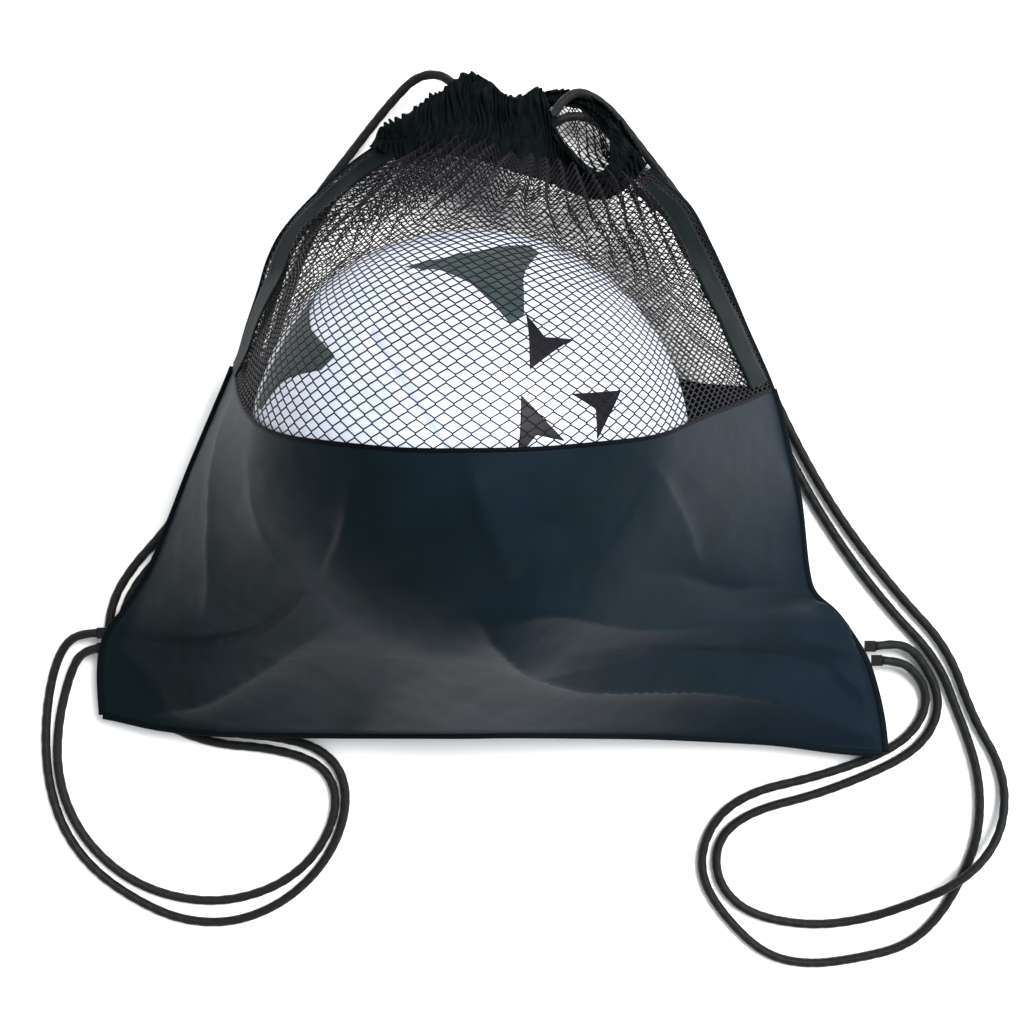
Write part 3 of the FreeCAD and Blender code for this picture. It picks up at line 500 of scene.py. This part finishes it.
# ---------------------------------------------------------------- folds of the nylon
# Each fold: points (x, y, height) along its crest, then its widths on the left and right of that direction.
FOLDS = [
    # big fold from the ball's lower right to the right bottom corner, steep below
    ([(-8, -84, 0), (2, -98, 9), (18, -113, 13), (44, -123, 14), (82, -128, 13), (120, -134, 11),
      (160, -147, 8), (205, -168, 3)], 26, 7),
    # ridge above it, to the right tack
    ([(0, -88, 4), (30, -84, 7), (70, -94, 8), (112, -98, 8), (160, -100, 8), (203, -112, 4)], 9, 9),
    # hollow between the two
    ([(40, -106, -2), (80, -112, -7), (120, -117, -8), (160, -122, -6), (196, -134, 0)], 8, 8),
    # hollow above, along the ball's foot
    ([(60, -70, 0), (92, -74, -4), (124, -84, -6), (160, -86, -5), (182, -92, 0)], 10, 8),
    # sharp edge on the ball's lower middle
    ([(-13, -12, 0), (-8, -30, 2.2), (-3, -48, 3.4), (4, -64, 4.2), (11, -78, 0)], 16, 2.4),
    # small edge at the upper right
    ([(72, -14, 0), (84, -34, 2.4), (96, -56, 3.4), (108, -76, 0)], 3, 12),
    # valley that curves from the left tack up to the ball
    ([(-206, -112, -3), (-178, -116, -7), (-150, -115, -9), (-122, -106, -9), (-98, -88, -8), (-78, -66, -5),
      (-64, -42, 0)], 14, 3.4),
    # fold under it, to the left bottom corner
    ([(-66, -92, 0), (-96, -108, 6), (-128, -128, 9), (-160, -146, 8), (-194, -156, 2)], 7, 16),
    # creases on the ball's left
    ([(-62, -20, 0), (-64, -44, 3.0), (-74, -64, 4.0), (-90, -82, 0)], 12, 4),
    ([(-118, -6, 0), (-112, -40, 3.0), (-104, -64, 3.6), (-98, -84, 0)], 8, 5),
    # long upright crease near the left edge
    ([(-136, 22, 1), (-139, -8, 6), (-141, -44, 8), (-146, -82, 6), (-156, -104, 0)], 16, 5),
    # fold in the left bottom corner
    ([(-213, -112, 0), (-200, -130, -5), (-188, -144, -5), (-172, -158, 0)], 7, 9),
    # crumples at the right tack
    ([(176, -92, 0), (186, -104, 5), (198, -116, 5), (206, -128, 0)], 4, 6),
    ([(160, -112, 0), (178, -116, 4), (196, -121, 3)], 3, 4),
    ([(184, -124, 0), (192, -134, 4), (204, -144, 3), (210, -156, 0)], 5, 4),
]


def fold_height(x, y, fold):
    """Height that one fold gives at each place: that of its nearest stretch, falling off to each side."""
    crest, left_width, right_width = fold
    line = catmull(crest, 24)
    best = np.full(x.shape, 1e9)
    height = np.zeros(x.shape)
    for a, b in zip(line, line[1:]):
        run = b[:2] - a[:2]
        length = max(np.dot(run, run), 1e-9)
        t = np.clip(((x - a[0]) * run[0] + (y - a[1]) * run[1]) / length, 0, 1)
        dx, dy = x - a[0] - t * run[0], y - a[1] - t * run[1]
        distance = np.hypot(dx, dy)
        width = np.where(run[0] * dy - run[1] * dx > 0, left_width, right_width)
        here = (a[2] + (b[2] - a[2]) * t) * np.exp(-np.hypot(distance, 0.8) / width)
        nearer = distance < best
        best = np.where(nearer, distance, best)
        height = np.where(nearer, here, height)
    return height


def nylon_height(table):
    x, y = table[..., 0], table[..., 1]
    total = sum(fold_height(x, y, fold) for fold in FOLDS)
    total += 0.8 * value_noise(x / 34 + 9, y / 26 + 5, 3) + 0.3 * value_noise(x / 13, y / 10, 4)
    total += 0.16 * value_noise(x / 5, y / 5, 5)
    return total


front, front_dense, front_run, front_normals = fabric_table(front_surface, 1, off_ball)
back, back_dense, _, back_normals = fabric_table(back_surface, -1, anywhere)
FRONT_V = np.linspace(0, 1, ROWS)[:, None]
FRONT_FLAT = np.linspace(0, FLAT_WIDTH, COLUMNS)[None, :]
edge_fade = smoothstep(0, 9, np.minimum(FRONT_FLAT, FLAT_WIDTH - FRONT_FLAT))
nylon_part = 1 - smoothstep(SEAM_V - 0.05, SEAM_V + 0.03, FRONT_V)
folds = nylon_height(front) * edge_fade * nylon_part * smoothstep(0, 0.03, FRONT_V)
gathers = pleats(front_dense, GATHER_LENGTH, 21, SEAM_V + 0.10, SEAM_V + 0.34)
gathers = gathers * (0.08 + 0.92 * smoothstep(14, 36, front_run))
ripples = 1.5 * (1 + value_noise(front[..., 0] / 17, front[..., 1] / 15, 31)) * edge_fade * off_ball(front)
ripples = ripples * smoothstep(SEAM_V, SEAM_V + 0.12, FRONT_V)
lift = folds + gathers + ripples
front = front + front_normals * lift[..., None]
gap = np.linalg.norm(front - BALL, axis=-1)
inside = np.maximum(SKIN - 0.6 - gap, 0)    # how far a fold would cut into the ball
front = front + unit(front - BALL) * inside[..., None]
back_gathers = pleats(back_dense, GATHER_LENGTH, 41, SEAM_V + 0.03, SEAM_V + 0.3)
back = back - back_normals * (0.8 * back_gathers)[..., None]
back[..., 2] = np.maximum(back[..., 2], CLOTH_FLOOR)


def on_table(table, flat, v):
    """Points of the cloth at flat (millimetres across) and v, by straight mixing."""
    c = np.clip(flat / FLAT_WIDTH * (COLUMNS - 1), 0, COLUMNS - 1.001)
    r = np.clip(v * (ROWS - 1), 0, ROWS - 1.001)
    ci, ri = c.astype(int), r.astype(int)
    cf, rf = (c - ci)[..., None], (r - ri)[..., None]
    low = table[ri, ci] * (1 - cf) + table[ri, ci + 1] * cf
    high = table[ri + 1, ci] * (1 - cf) + table[ri + 1, ci + 1] * cf
    return low * (1 - rf) + high * rf


# ---------------------------------------------------------------- nylon panels
NYLON_WALL = 0.4


def nylon_panel(name, node, table):
    part = table[:SEAM_AT + 1, ::2]
    rows, columns = part.shape[:2]
    flat = flat_places(np.linspace(0, FLAT_WIDTH, columns)[None, :],
                       np.linspace(0, NYLON_HEIGHT, rows)[:, None])
    piece = mesh_piece(name, part.reshape(-1, 3), grid_faces(rows, columns), flat)
    thicken(piece, NYLON_WALL)
    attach(piece, "bag")
    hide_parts(node)
    return piece


front_nylon = nylon_panel("front_nylon", "front_nylon_panel", front)
back_nylon = nylon_panel("back_nylon", "back_nylon_panel", back)


# ---------------------------------------------------------------- net panels
CELL = 6.8                    # width of a net cell, which stands on its corner
ROW_STEP = 3.3                # from one row of cells to the next, which is half a cell across
UPRIGHT = 0.7                 # short upright thread where two cells meet side by side
THREAD = 0.35                 # half thickness of a thread


def net_threads(width, height):
    """Ends of the threads of a diamond net over a flat width by height."""
    columns = int(width / CELL)
    rows = int(height / ROW_STEP)
    cell = width / columns
    step = height / rows
    rise = (step - UPRIGHT) / 2
    ends = []
    for r in range(rows):
        x = np.arange(columns) * cell + cell / 2 * (r % 2)
        y = np.full_like(x, (r + 0.5) * step)
        ends.append(np.stack([x, y + rise, x + cell / 2, y - rise], -1))
        ends.append(np.stack([x + cell / 2, y - rise, x + cell, y + rise], -1))
        ends.append(np.stack([x, y + rise, x, y + rise + UPRIGHT], -1))
    ends = np.concatenate(ends)
    keep = (ends[:, [0, 2]].max(1) <= width) & (ends[:, [1, 3]].max(1) <= height) & (ends.min(1) >= 0)
    return ends[keep]


def net_panel(name, node, table, normals):
    """Every thread of the net as a four-sided rod between its two ends on the cloth."""
    ends = net_threads(FLAT_WIDTH, NET_HEIGHT)
    v = SEAM_V + ends[:, [1, 3]] / NET_HEIGHT * (1 - SEAM_V)
    a = on_table(table, ends[:, 0], v[:, 0])
    b = on_table(table, ends[:, 2], v[:, 1])
    forward = unit(b - a)
    normal = unit(on_table(normals, (ends[:, 0] + ends[:, 2]) / 2, v.mean(1)))
    across = unit(np.cross(forward, normal))
    over = unit(np.cross(across, forward))
    extend = forward * THREAD * 0.5
    corners = []
    for end in (a - extend, b + extend):
        for turn in range(4):
            angle = math.pi / 4 + turn * math.pi / 2
            corners.append(end + THREAD * (math.cos(angle) * across * 1.15 + math.sin(angle) * over * 0.9))
    points = np.stack(corners, 1).reshape(-1, 3)
    base = np.arange(len(ends))[:, None] * 8
    pattern = [[i, (i + 1) % 4, 4 + (i + 1) % 4, 4 + i] for i in range(4)]
    faces = np.concatenate([base + np.array(p)[None, :] for p in pattern])
    piece = mesh_piece(name, points, faces)
    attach(piece, "bag")
    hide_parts(node)
    piece.visible_shadow = False    # the pale floor shows white through the net
    return piece


front_net = net_panel("front_net", "front_net_panel", front, front_normals)
back_net = net_panel("back_net", "back_net_panel", back, back_normals)


# ---------------------------------------------------------------- strips sewn on the cloth
SEAM_WIDTH, SEAM_HEIGHT = 3.6, 1.8
SEAM_OVERLAP = 1.0            # how far a seam reaches in over the panels' edge
TAPE_HEIGHT = 1.1


def strip_on(name, points, directions, width, thickness, nodes):
    """Flat strip along points, reaching out along directions, with a rounded section."""
    ring = []
    turns = 10
    forward = unit(np.gradient(points, axis=0))
    over = unit(np.cross(forward, directions))
    for k in range(turns):
        angle = 2 * math.pi * k / turns
        reach = width / 2 * (1 + math.copysign(abs(math.cos(angle)) ** 0.5, math.cos(angle)))
        rise = thickness / 2 * math.copysign(abs(math.sin(angle)) ** 0.7, math.sin(angle))
        ring.append(points + directions * reach + over * rise)
    rows = np.stack(ring, 1)
    count = len(points)
    uv = flat_places(np.arange(turns)[None, :] * width / turns, lengths_to(points)[:, None])
    faces = grid_faces(count, turns, closed=True).tolist()
    faces.append(list(range(turns))[::-1])
    faces.append([(count - 1) * turns + k for k in range(turns)])
    piece = mesh_piece(name, rows.reshape(-1, 3), faces, uv)
    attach(piece, "bag")
    if nodes:
        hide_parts(*nodes)
    return piece


def plan_normals(points, side):
    """Directions straight out from a line in plan."""
    run = np.gradient(points, axis=0)
    return unit(np.stack([run[:, 1], -run[:, 0], np.zeros(len(points))], -1) * side)


def edge_seams():
    """Seams round the nylon, then the bound edges of the net."""
    pieces = []
    for name, node, column, side in (("left_seam", "left_side_seam", 0, -1),
                                     ("right_seam", "right_side_seam", -1, 1)):
        points = front[:SEAM_AT + 1, column]
        out = plan_normals(points, side)
        pieces.append(strip_on(name, points - out * SEAM_OVERLAP, out, SEAM_WIDTH, SEAM_HEIGHT,
                               [node]))
    points = front[0, ::2]
    out = unit(plan_normals(points, 1) + np.array([0, 0, -0.35]))
    pieces.append(strip_on("foot_seam", points - out * SEAM_OVERLAP, out, SEAM_WIDTH, SEAM_HEIGHT,
                           ["bottom_seam"]))
    for name, column, side, width in (("left_net_edge", 0, -1, 2.4), ("right_net_edge", -1, 1, 4.4)):
        points = front[SEAM_AT:, column]
        out = plan_normals(points, side)
        pieces.append(strip_on(name, points - out * width * 0.6, out, width, SEAM_HEIGHT, []))
    return pieces


edges = edge_seams()


def row_strip(name, node, table, normals, lift, width):
    """Strip along the nylon to net seam."""
    kept = slice(2, -2, 2)    # every other column, away from the side seams
    points = table[SEAM_AT, kept] + normals[SEAM_AT, kept] * lift
    along_cloth = unit(table[SEAM_AT + 2, kept] - table[SEAM_AT - 2, kept])
    return strip_on(name, points - along_cloth * width * 0.7, along_cloth, width, TAPE_HEIGHT, [node])


front_seam = row_strip("front_tape", "front_panel_seam", front, front_normals, 0.3, 2.0)
back_seam = row_strip("back_tape", "back_panel_seam", back, -back_normals, 0.4, 3.0)


BAND_LIFT, BAND_WAVE = 3.4, 0.8    # height over the net's own surface, and how much it varies
BAND_WALL = 0.9
BAND_ENDS = (SEAM_V + 0.02, 0.985)


def band(name, node, sign, near, far):
    """Solid band on the net, near to far millimetres in from the edge in plan, over its gathers."""
    rows = np.linspace(*BAND_ENDS, 70)
    u = sign * np.linspace(1, 0.2, 240)
    table = front_surface(*np.meshgrid(u, rows))
    runs = np.concatenate([np.zeros((len(rows), 1)),
                           np.cumsum(np.linalg.norm(np.diff(table[..., :2], axis=1), axis=2), 1)], 1)
    offsets = np.linspace(near, far, 9)
    places = np.empty((len(rows), len(offsets), 3))
    for i in range(len(rows)):
        for k in range(3):
            places[i, :, k] = np.interp(offsets, runs[i], table[i, :, k])
    normal = normals_of(places)
    normal = normal * np.sign(normal[..., 2:3])
    lift_by = BAND_LIFT + BAND_WAVE * value_noise(places[..., 0] / 9, places[..., 1] / 14, 51)
    places = places + normal * lift_by[..., None]
    flat = flat_places(offsets[None, :], (rows * (NYLON_HEIGHT + NET_HEIGHT))[:, None])
    piece = mesh_piece(name, places.reshape(-1, 3), grid_faces(len(rows), len(offsets)), flat)
    thicken(piece, BAND_WALL)
    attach(piece, "bag")
    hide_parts(node)
    return piece


left_band = band("left_band", "left_side_band", -1, 7, 19)
right_band = band("right_band", "right_side_band", 1, 7, 21)


# ---------------------------------------------------------------- gathered casing
# Pairs of points on the lower and the upper edge of each casing, from its left end to its right end.
FRONT_CASING = [
    ((-68, 157, 33), (-62, 168, 29)), ((-57, 151, 38), (-52, 172, 31)), ((-46, 147, 42), (-40, 180, 32)),
    ((-34, 148, 45), (-27, 188, 34)), ((-20, 149, 48), (-14, 196, 37)), ((-6, 146, 51), (-2, 191, 41)),
    ((7, 141, 53), (7, 182, 46)), ((16, 138, 53), (15, 182, 45)), ((27, 135, 51), (24, 188, 40)),
    ((37, 131, 49), (30, 178, 41)), ((46, 128, 47), (34, 165, 44)), ((54, 126, 46), (45, 150, 47)),
    ((62, 127, 44), (56, 141, 47)), ((70, 131, 42), (62, 146, 45)), ((77, 138, 40), (63, 158, 42)),
    ((84, 147, 37), (62, 172, 36))]
BACK_CASING = [
    ((-66, 152, 26), (-60, 163, 27)), ((-40, 166, 16), (-34, 178, 18)), ((-16, 172, 12), (-8, 186, 15)),
    ((9, 176, 10), (9, 188, 14)), ((26, 182, 12), (26, 191, 16)), ((42, 183, 16), (43, 191, 20)),
    ((56, 175, 20), (59, 184, 24)), ((67, 162, 23), (72, 169, 27)), ((76, 148, 27), (82, 153, 29))]
CASING_HEIGHT = 30
CASING_FULLNESS = 3           # flat length over gathered length
CASING_WALL = 0.7
CASING_PLEAT = 3.6
STITCH_V, CORD_V = 0.42, 0.76      # shares of the way up where the channel is sewn and where the cord runs


def casing(name, node, edges_of, sign, seed):
    """Strip gathered into steep pleats between its two edges, pinched where its channel is sewn."""
    columns, rows = 900, 22
    low = catmull([a for a, b in edges_of], columns)
    high = catmull([b for a, b in edges_of], columns)
    share = np.linspace(0, 1, rows)[:, None, None]
    base = low[None] + (high - low)[None] * share
    normal = normals_of(base)
    normal = normal * np.sign(normal[..., 2:3]) * sign
    run = lengths_to((low + high) / 2)
    v = np.linspace(0, 1, rows)[:, None]
    wander = 6.0 * value_noise(run[None] / 14, v * 2.6, seed)
    wander = wander + 2.2 * value_noise(run[None] / 5, v * 4.5, seed + 1)
    phase = 2 * math.pi * (run[None] + wander) / CASING_PLEAT
    height = 1.1 + 0.9 * value_noise(run[None] / 5, v * 4, seed + 2)
    height = height + 0.5 * value_noise(run[None] / 2, v * 9, seed + 3)
    stitched = np.exp(-((v - STITCH_V) / 0.05) ** 2)
    height = height * (1 - 0.7 * stitched) * (0.8 + 0.4 * v)
    cord_bulge = 2.6 * np.exp(-((v - CORD_V) / 0.16) ** 2) - 0.8 * stitched
    ends = smoothstep(0, 5, np.minimum(run, run[-1] - run))[None]
    lift_by = (height * (1 + np.cos(phase)) + cord_bulge) * (0.3 + 0.7 * ends)
    points = base + normal * lift_by[..., None]
    flat = flat_places(run[None] * CASING_FULLNESS, v * CASING_HEIGHT)
    piece = mesh_piece(name, points.reshape(-1, 3), grid_faces(rows, columns), flat)
    thicken(piece, CASING_WALL)
    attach(piece, "bag")
    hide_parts(node)
    return piece


front_casing = casing("front_hem", "front_casing", FRONT_CASING, 1, 61)
back_casing = casing("back_hem", "back_casing", BACK_CASING, -1, 71)


# ---------------------------------------------------------------- ball
VALVE_HOLE = 4.1              # radius of the hole in the cover
LIP_DEPTH = 3.2               # how far the hole's edge goes in
GROOVE_DEPTH, GROOVE_WIDTH = 1.3, 1.4
DIP_DEPTH, DIP_WIDTH = 0.4, 5      # soft rounding of the panels beside a groove
GOLDEN = 1.618
BALL_TURN = (0.10, 0.32, 0.12)


def turned(points, angles):
    """Points turned about X, then Y, then Z, in radians."""
    for axis, angle in zip("xyz", angles):
        c, s = math.cos(angle), math.sin(angle)
        m = {"x": [[1, 0, 0], [0, c, -s], [0, s, c]], "y": [[c, 0, s], [0, 1, 0], [-s, 0, c]],
             "z": [[c, -s, 0], [s, c, 0], [0, 0, 1]]}[axis]
        points = points @ np.array(m).T
    return points


# The middles of the twelve panels: the corners of an icosahedron.
PANEL_AXES = turned(unit(np.array([np.roll((0, a, b * GOLDEN), shift)
                                   for shift in range(3) for a in (1, -1) for b in (1, -1)])), BALL_TURN)


def ball_skin():
    """Sphere with shallow grooves between its panels and a hole for the valve on its -X side."""
    rings, around = 230, 420
    tilt = np.linspace(math.asin(VALVE_HOLE / BALL_RADIUS), math.pi, rings)
    turn = np.linspace(0, 2 * math.pi, around, endpoint=False)
    t, f = np.meshgrid(tilt, turn, indexing="ij")
    way = np.stack([-np.cos(t), np.sin(t) * np.cos(f), np.sin(t) * np.sin(f)], -1)
    near = np.sort(way @ PANEL_AXES.T, axis=-1)
    edge = (near[..., -1] - near[..., -2]) * BALL_RADIUS * 0.95
    radius = BALL_RADIUS - GROOVE_DEPTH * np.exp(-(edge / GROOVE_WIDTH) ** 2)
    radius = radius - DIP_DEPTH * np.exp(-(edge / DIP_WIDTH) ** 2)
    points = BALL + way * radius[..., None]
    lip = points[:1] + (BALL - points[:1]) * np.array([LIP_DEPTH / BALL_RADIUS, 0, 0])
    points = np.concatenate([lip, points], 0)
    faces = grid_faces(rings + 1, around, closed=True)[:, ::-1]
    piece = mesh_piece("ball_skin", points.reshape(-1, 3), faces)
    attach(piece, "ball")
    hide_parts("ball_cover")
    return piece


ball = ball_skin()


PATCH_LIFT, PATCH_DEPTH = 0.3, 1.2      # height over the ball, and how far the patch's edge reaches down


def patch(name, centre, outline, turn):
    """Printed patch on the ball: outline in millimetres about a centre, given from above as x, y from the
    ball's own centre."""
    cx, cy = centre
    height = math.sqrt(max(BALL_RADIUS ** 2 - cx ** 2 - cy ** 2, 1.0))
    way = np.array([cx, cy, height]) / BALL_RADIUS
    east = unit(np.cross((0, 1, 0), way))
    north = np.cross(way, east)
    loop = np.array(outline + outline[:1], float)
    c, s = math.cos(math.radians(turn)), math.sin(math.radians(turn))
    loop = loop @ np.array([[c, s], [-s, c]])
    fine, _ = along(np.column_stack([loop, np.zeros(len(loop))]), 1.0)
    fine = fine[:-1, :2]
    rings = 12
    rows = []
    for k in range(rings + 1):
        flat = fine * max(k / rings, 0.01)
        angle = np.linalg.norm(flat, axis=1, keepdims=True) / BALL_RADIUS
        lead = unit(flat)
        ray = way * np.cos(angle) + (east * lead[:, :1] + north * lead[:, 1:]) * np.sin(angle)
        rows.append(BALL + ray * (BALL_RADIUS + PATCH_LIFT))
    rows.append(BALL + (rows[-1] - BALL) * (1 - PATCH_DEPTH / BALL_RADIUS))
    points = np.concatenate(rows)
    faces = grid_faces(rings + 2, len(fine), closed=True)
    piece = mesh_piece(name, points, faces)
    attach(piece, "ball")
    return piece


THREE_POINTED = [(0, 42), (5, 24), (14, 8), (34, -14), (26, -19), (4, -15), (-4, -15), (-26, -19),
                 (-34, -14), (-14, 8), (-5, 24)]
WEDGE = [(0, 14), (7, -2), (12, -12), (0, -5), (-12, -12), (-7, -2)]
grey_patches = [
    patch("ball_patch_1", (12, 82), THREE_POINTED, 75),
    patch("ball_patch_2", (-84, 44), THREE_POINTED, 20),
]
dark_patches = [
    patch("ball_mark_1", (34, 44), WEDGE, 150),
    patch("ball_mark_2", (62, 18), WEDGE, -60),
    patch("ball_mark_3", (30, 8), WEDGE, 20),
]


# ---------------------------------------------------------------- materials
class Nodes:
    """Short way to write a node material."""

    def __init__(self, name):
        self.material = bpy.data.materials.new(name)
        self.material.use_nodes = True
        self.tree = self.material.node_tree
        self.shader = self.tree.nodes["Principled BSDF"]

    def add(self, kind, inputs=None, **settings):
        node = self.tree.nodes.new(kind)
        for key, value in settings.items():
            setattr(node, key, value)
        for key, value in (inputs or {}).items():
            self.put(node.inputs[key], value)
        return node

    def put(self, socket, value):
        if isinstance(value, bpy.types.NodeSocket):
            self.tree.links.new(value, socket)
        else:
            socket.default_value = value

    def uv(self):
        return self.add("ShaderNodeUVMap", uv_map="flat").outputs["UV"]

    def place(self):
        return self.add("ShaderNodeTexCoord").outputs["Object"]

    def noise(self, vector, scale, detail=4.0, rough=0.55):
        return self.add("ShaderNodeTexNoise", {"Vector": vector, "Scale": scale, "Detail": detail,
                                               "Roughness": rough}).outputs["Fac"]

    def wave(self, vector, scale, direction, distortion=0.0):
        node = self.add("ShaderNodeTexWave", {"Vector": vector, "Scale": scale, "Distortion": distortion},
                        bands_direction=direction)
        return node.outputs["Fac"]

    def ramp(self, value, stops):
        node = self.add("ShaderNodeValToRGB", {"Fac": value})
        while len(node.color_ramp.elements) < len(stops):
            node.color_ramp.elements.new(0.5)
        for element, (place, colour) in zip(node.color_ramp.elements, stops):
            element.position = place
            element.color = (*colour, 1.0)
        return node.outputs["Color"]

    def math(self, operation, a, b):
        node = self.add("ShaderNodeMath", operation=operation)
        self.put(node.inputs[0], a)
        self.put(node.inputs[1], b)
        return node.outputs[0]

    def bump(self, height, strength, distance, under=None):
        inputs = {"Height": height, "Strength": strength, "Distance": distance}
        if under is not None:
            inputs["Normal"] = under
        return self.add("ShaderNodeBump", inputs).outputs["Normal"]

    def set(self, **inputs):
        for key, value in inputs.items():
            self.put(self.shader.inputs[key.replace("_", " ")], value)
        return self.material


def thread_scale(pitch):
    """Scale of a wave texture whose bands are a pitch apart, in the units of its coordinates."""
    return 2 * math.pi / 20 / pitch


def woven(name, tint, shade, pitch, roughness, sheen):
    """Plain woven cloth: fine threads both ways, random slow changes of colour, and painted light: the cloth
    is coloured lighter towards +X, the side the lamps stand on, and darker towards -X as painted shade.
    """
    n = Nodes(name)
    uv, place = n.uv(), n.place()
    warp = n.wave(uv, thread_scale(pitch), "X", 0.15)
    weft = n.wave(uv, thread_scale(pitch), "Y", 0.15)
    weave = n.math("MAXIMUM", warp, weft)
    # Painted light: the colour mix leans towards the lighter colour along +X, where the lamps stand, and
    # towards the darker colour along -X as painted shade; the noise adds random tone.
    east = n.add("ShaderNodeSeparateXYZ", {"Vector": place}).outputs["X"]
    colour_mix = n.math("ADD", n.noise(place, 22.0, 3.0), n.math("MULTIPLY", east, 1.4))
    colour = n.ramp(colour_mix, [(0.25, shade), (0.75, tint)])
    fibre = n.noise(uv, 6.0, 5.0)
    normal = n.bump(weave, 0.35, 0.00008, n.bump(fibre, 0.15, 0.0003))
    rough = n.math("ADD", n.math("MULTIPLY", n.noise(uv, 1.2, 4.0), 0.14), roughness - 0.07)
    return n.set(Base_Color=colour, Roughness=rough, Normal=normal, Sheen_Weight=sheen, Sheen_Roughness=0.4,
                 Sheen_Tint=(0.55, 0.68, 0.9, 1.0), Specular_IOR_Level=0.045,
                 Specular_Tint=(0.55, 0.78, 1.0, 1.0))


def matte(name, tint, shade, scale, roughness, bump, sheen=0.0, specular=0.12):
    """Knitted, braided or moulded surface with its own grain."""
    n = Nodes(name)
    place = n.place()
    colour_mix = n.noise(place, scale, 5.0)
    colour = n.ramp(colour_mix, [(0.3, shade), (0.7, tint)])
    normal = n.bump(n.noise(place, scale * 3, 6.0), 0.5, bump)
    rough = n.math("ADD", n.math("MULTIPLY", n.noise(place, scale * 0.4, 3.0), 0.16), roughness - 0.08)
    return n.set(Base_Color=colour, Roughness=rough, Normal=normal, Sheen_Weight=sheen, Sheen_Roughness=0.5,
                 Specular_IOR_Level=specular)


# In each woven cloth the first colour is the painted lit colour, reached towards +X, and the second the
# painted shaded colour, towards -X; random tone mixes them too.
NYLON = woven("nylon_cloth", (0.0050, 0.0098, 0.0160), (0.0030, 0.0068, 0.0078), 0.8, 0.46, 0.02)
NYLON_SEAM = woven("nylon_edge", (0.0040, 0.0058, 0.0070), (0.0020, 0.0028, 0.0034), 0.8, 0.60, 0.02)
TAPE = woven("seam_tape_cloth", (0.0026, 0.0026, 0.0040), (0.0012, 0.0012, 0.0020), 0.9, 0.60, 0.02)
BAND = woven("band_cloth", (0.0030, 0.0056, 0.0054), (0.0018, 0.0030, 0.0028), 1.1, 0.60, 0.02)
CASING = woven("casing_cloth", (0.0030, 0.0048, 0.0046), (0.0012, 0.0018, 0.0018), 1.4, 0.66, 0.02)
NET = matte("net_thread", (0.0060, 0.0034, 0.0066), (0.0020, 0.0014, 0.0024), 900.0, 0.50, 0.0001, 0.02)
CORD = matte("cord_braid", (0.0110, 0.0120, 0.0125), (0.0024, 0.0026, 0.0030), 1400.0, 0.50, 0.0002, 0.05)
TACK = matte("tack_thread", (0.0070, 0.0080, 0.0085), (0.0020, 0.0024, 0.0026), 1200.0, 0.60, 0.0002, 0.03)
RUBBER = matte("bladder_rubber", (0.035, 0.033, 0.031), (0.020, 0.019, 0.018), 300.0, 0.60, 0.0001)
VALVE = matte("valve_rubber", (0.030, 0.030, 0.030), (0.014, 0.014, 0.014), 600.0, 0.50, 0.0001)
BALL_WHITE = matte("ball_white", (0.70, 0.75, 0.86), (0.60, 0.66, 0.80), 60.0, 0.36, 0.00012, 0.0, 0.4)
BALL_GREY = matte("ball_grey", (0.045, 0.066, 0.068), (0.030, 0.046, 0.048), 120.0, 0.40, 0.0001)
BALL_DARK = matte("ball_dark", (0.009, 0.008, 0.013), (0.004, 0.004, 0.006), 120.0, 0.42, 0.0001)


def dress(piece, material):
    piece.data.materials.clear()
    piece.data.materials.append(material)


for piece, material in [(front_nylon, NYLON), (back_nylon, NYLON), (front_net, NET), (back_net, NET),
                        (front_seam, TAPE), (back_seam, TAPE), (left_band, BAND), (right_band, BAND),
                        (front_casing, CASING), (back_casing, CASING), (left_cord, CORD), (right_cord, CORD),
                        (ball, BALL_WHITE)]:
    dress(piece, material)
for piece in edges:
    dress(piece, NYLON_SEAM)
for piece in grey_patches:
    dress(piece, BALL_GREY)
for piece in dark_patches:
    dress(piece, BALL_DARK)


def dress_node(name, material):
    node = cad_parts[name]
    for slot in node.material_slots:
        slot.material = material


dress_node("ball_bladder", RUBBER)
dress_node("ball_valve", VALVE)
for tack in ("left_upper_tack", "left_lower_tack", "right_upper_tack", "right_lower_tack"):
    dress_node(tack, TACK)


# ---------------------------------------------------------------- floor, light and finish
def add_floor():
    n = Nodes("floor_white")
    colour_mix = n.noise(n.place(), 3.0, 2.0)
    n.set(Base_Color=n.ramp(colour_mix, [(0.3, (0.93, 0.93, 0.93)), (0.7, (0.95, 0.95, 0.95))]), Roughness=0.9)
    mesh = bpy.data.meshes.new("floor")
    half = 6.0
    corners = [(-half, -half, 0), (half, -half, 0), (half, half, 0), (-half, half, 0)]
    mesh.from_pydata(corners, [], [(0, 1, 2, 3)])
    floor = add_object("floor", mesh)
    dress(floor, n.material)


def add_light(name, kind, place, target, power, colour, **settings):
    data = bpy.data.lights.new(name, kind)
    data.energy = power
    data.color = colour
    for key, value in settings.items():
        setattr(data, key, value)
    light = add_object(name, data)
    light.location = place
    light.rotation_euler = (Vector(target) - Vector(place)).to_track_quat("-Z", "Y").to_euler()


def add_world():
    world = bpy.data.worlds.new("world")
    world.use_nodes = True
    background = world.node_tree.nodes["Background"]
    background.inputs["Color"].default_value = (0.94, 0.97, 1.0, 1.0)
    background.inputs["Strength"].default_value = 0.66
    bpy.context.scene.world = world


add_floor()
add_light("key", "SUN", (0.8, 0.6, 1.5), (0, 0, 0), 4.6, (1.0, 0.99, 0.97), angle=math.radians(30))
add_light("side", "AREA", (1.5, -0.5, 0.9), (0, 0, 0.05), 8, (0.9, 0.95, 1.0), size=0.7)
add_world()
bpy.context.scene.view_settings.view_transform = "Standard"
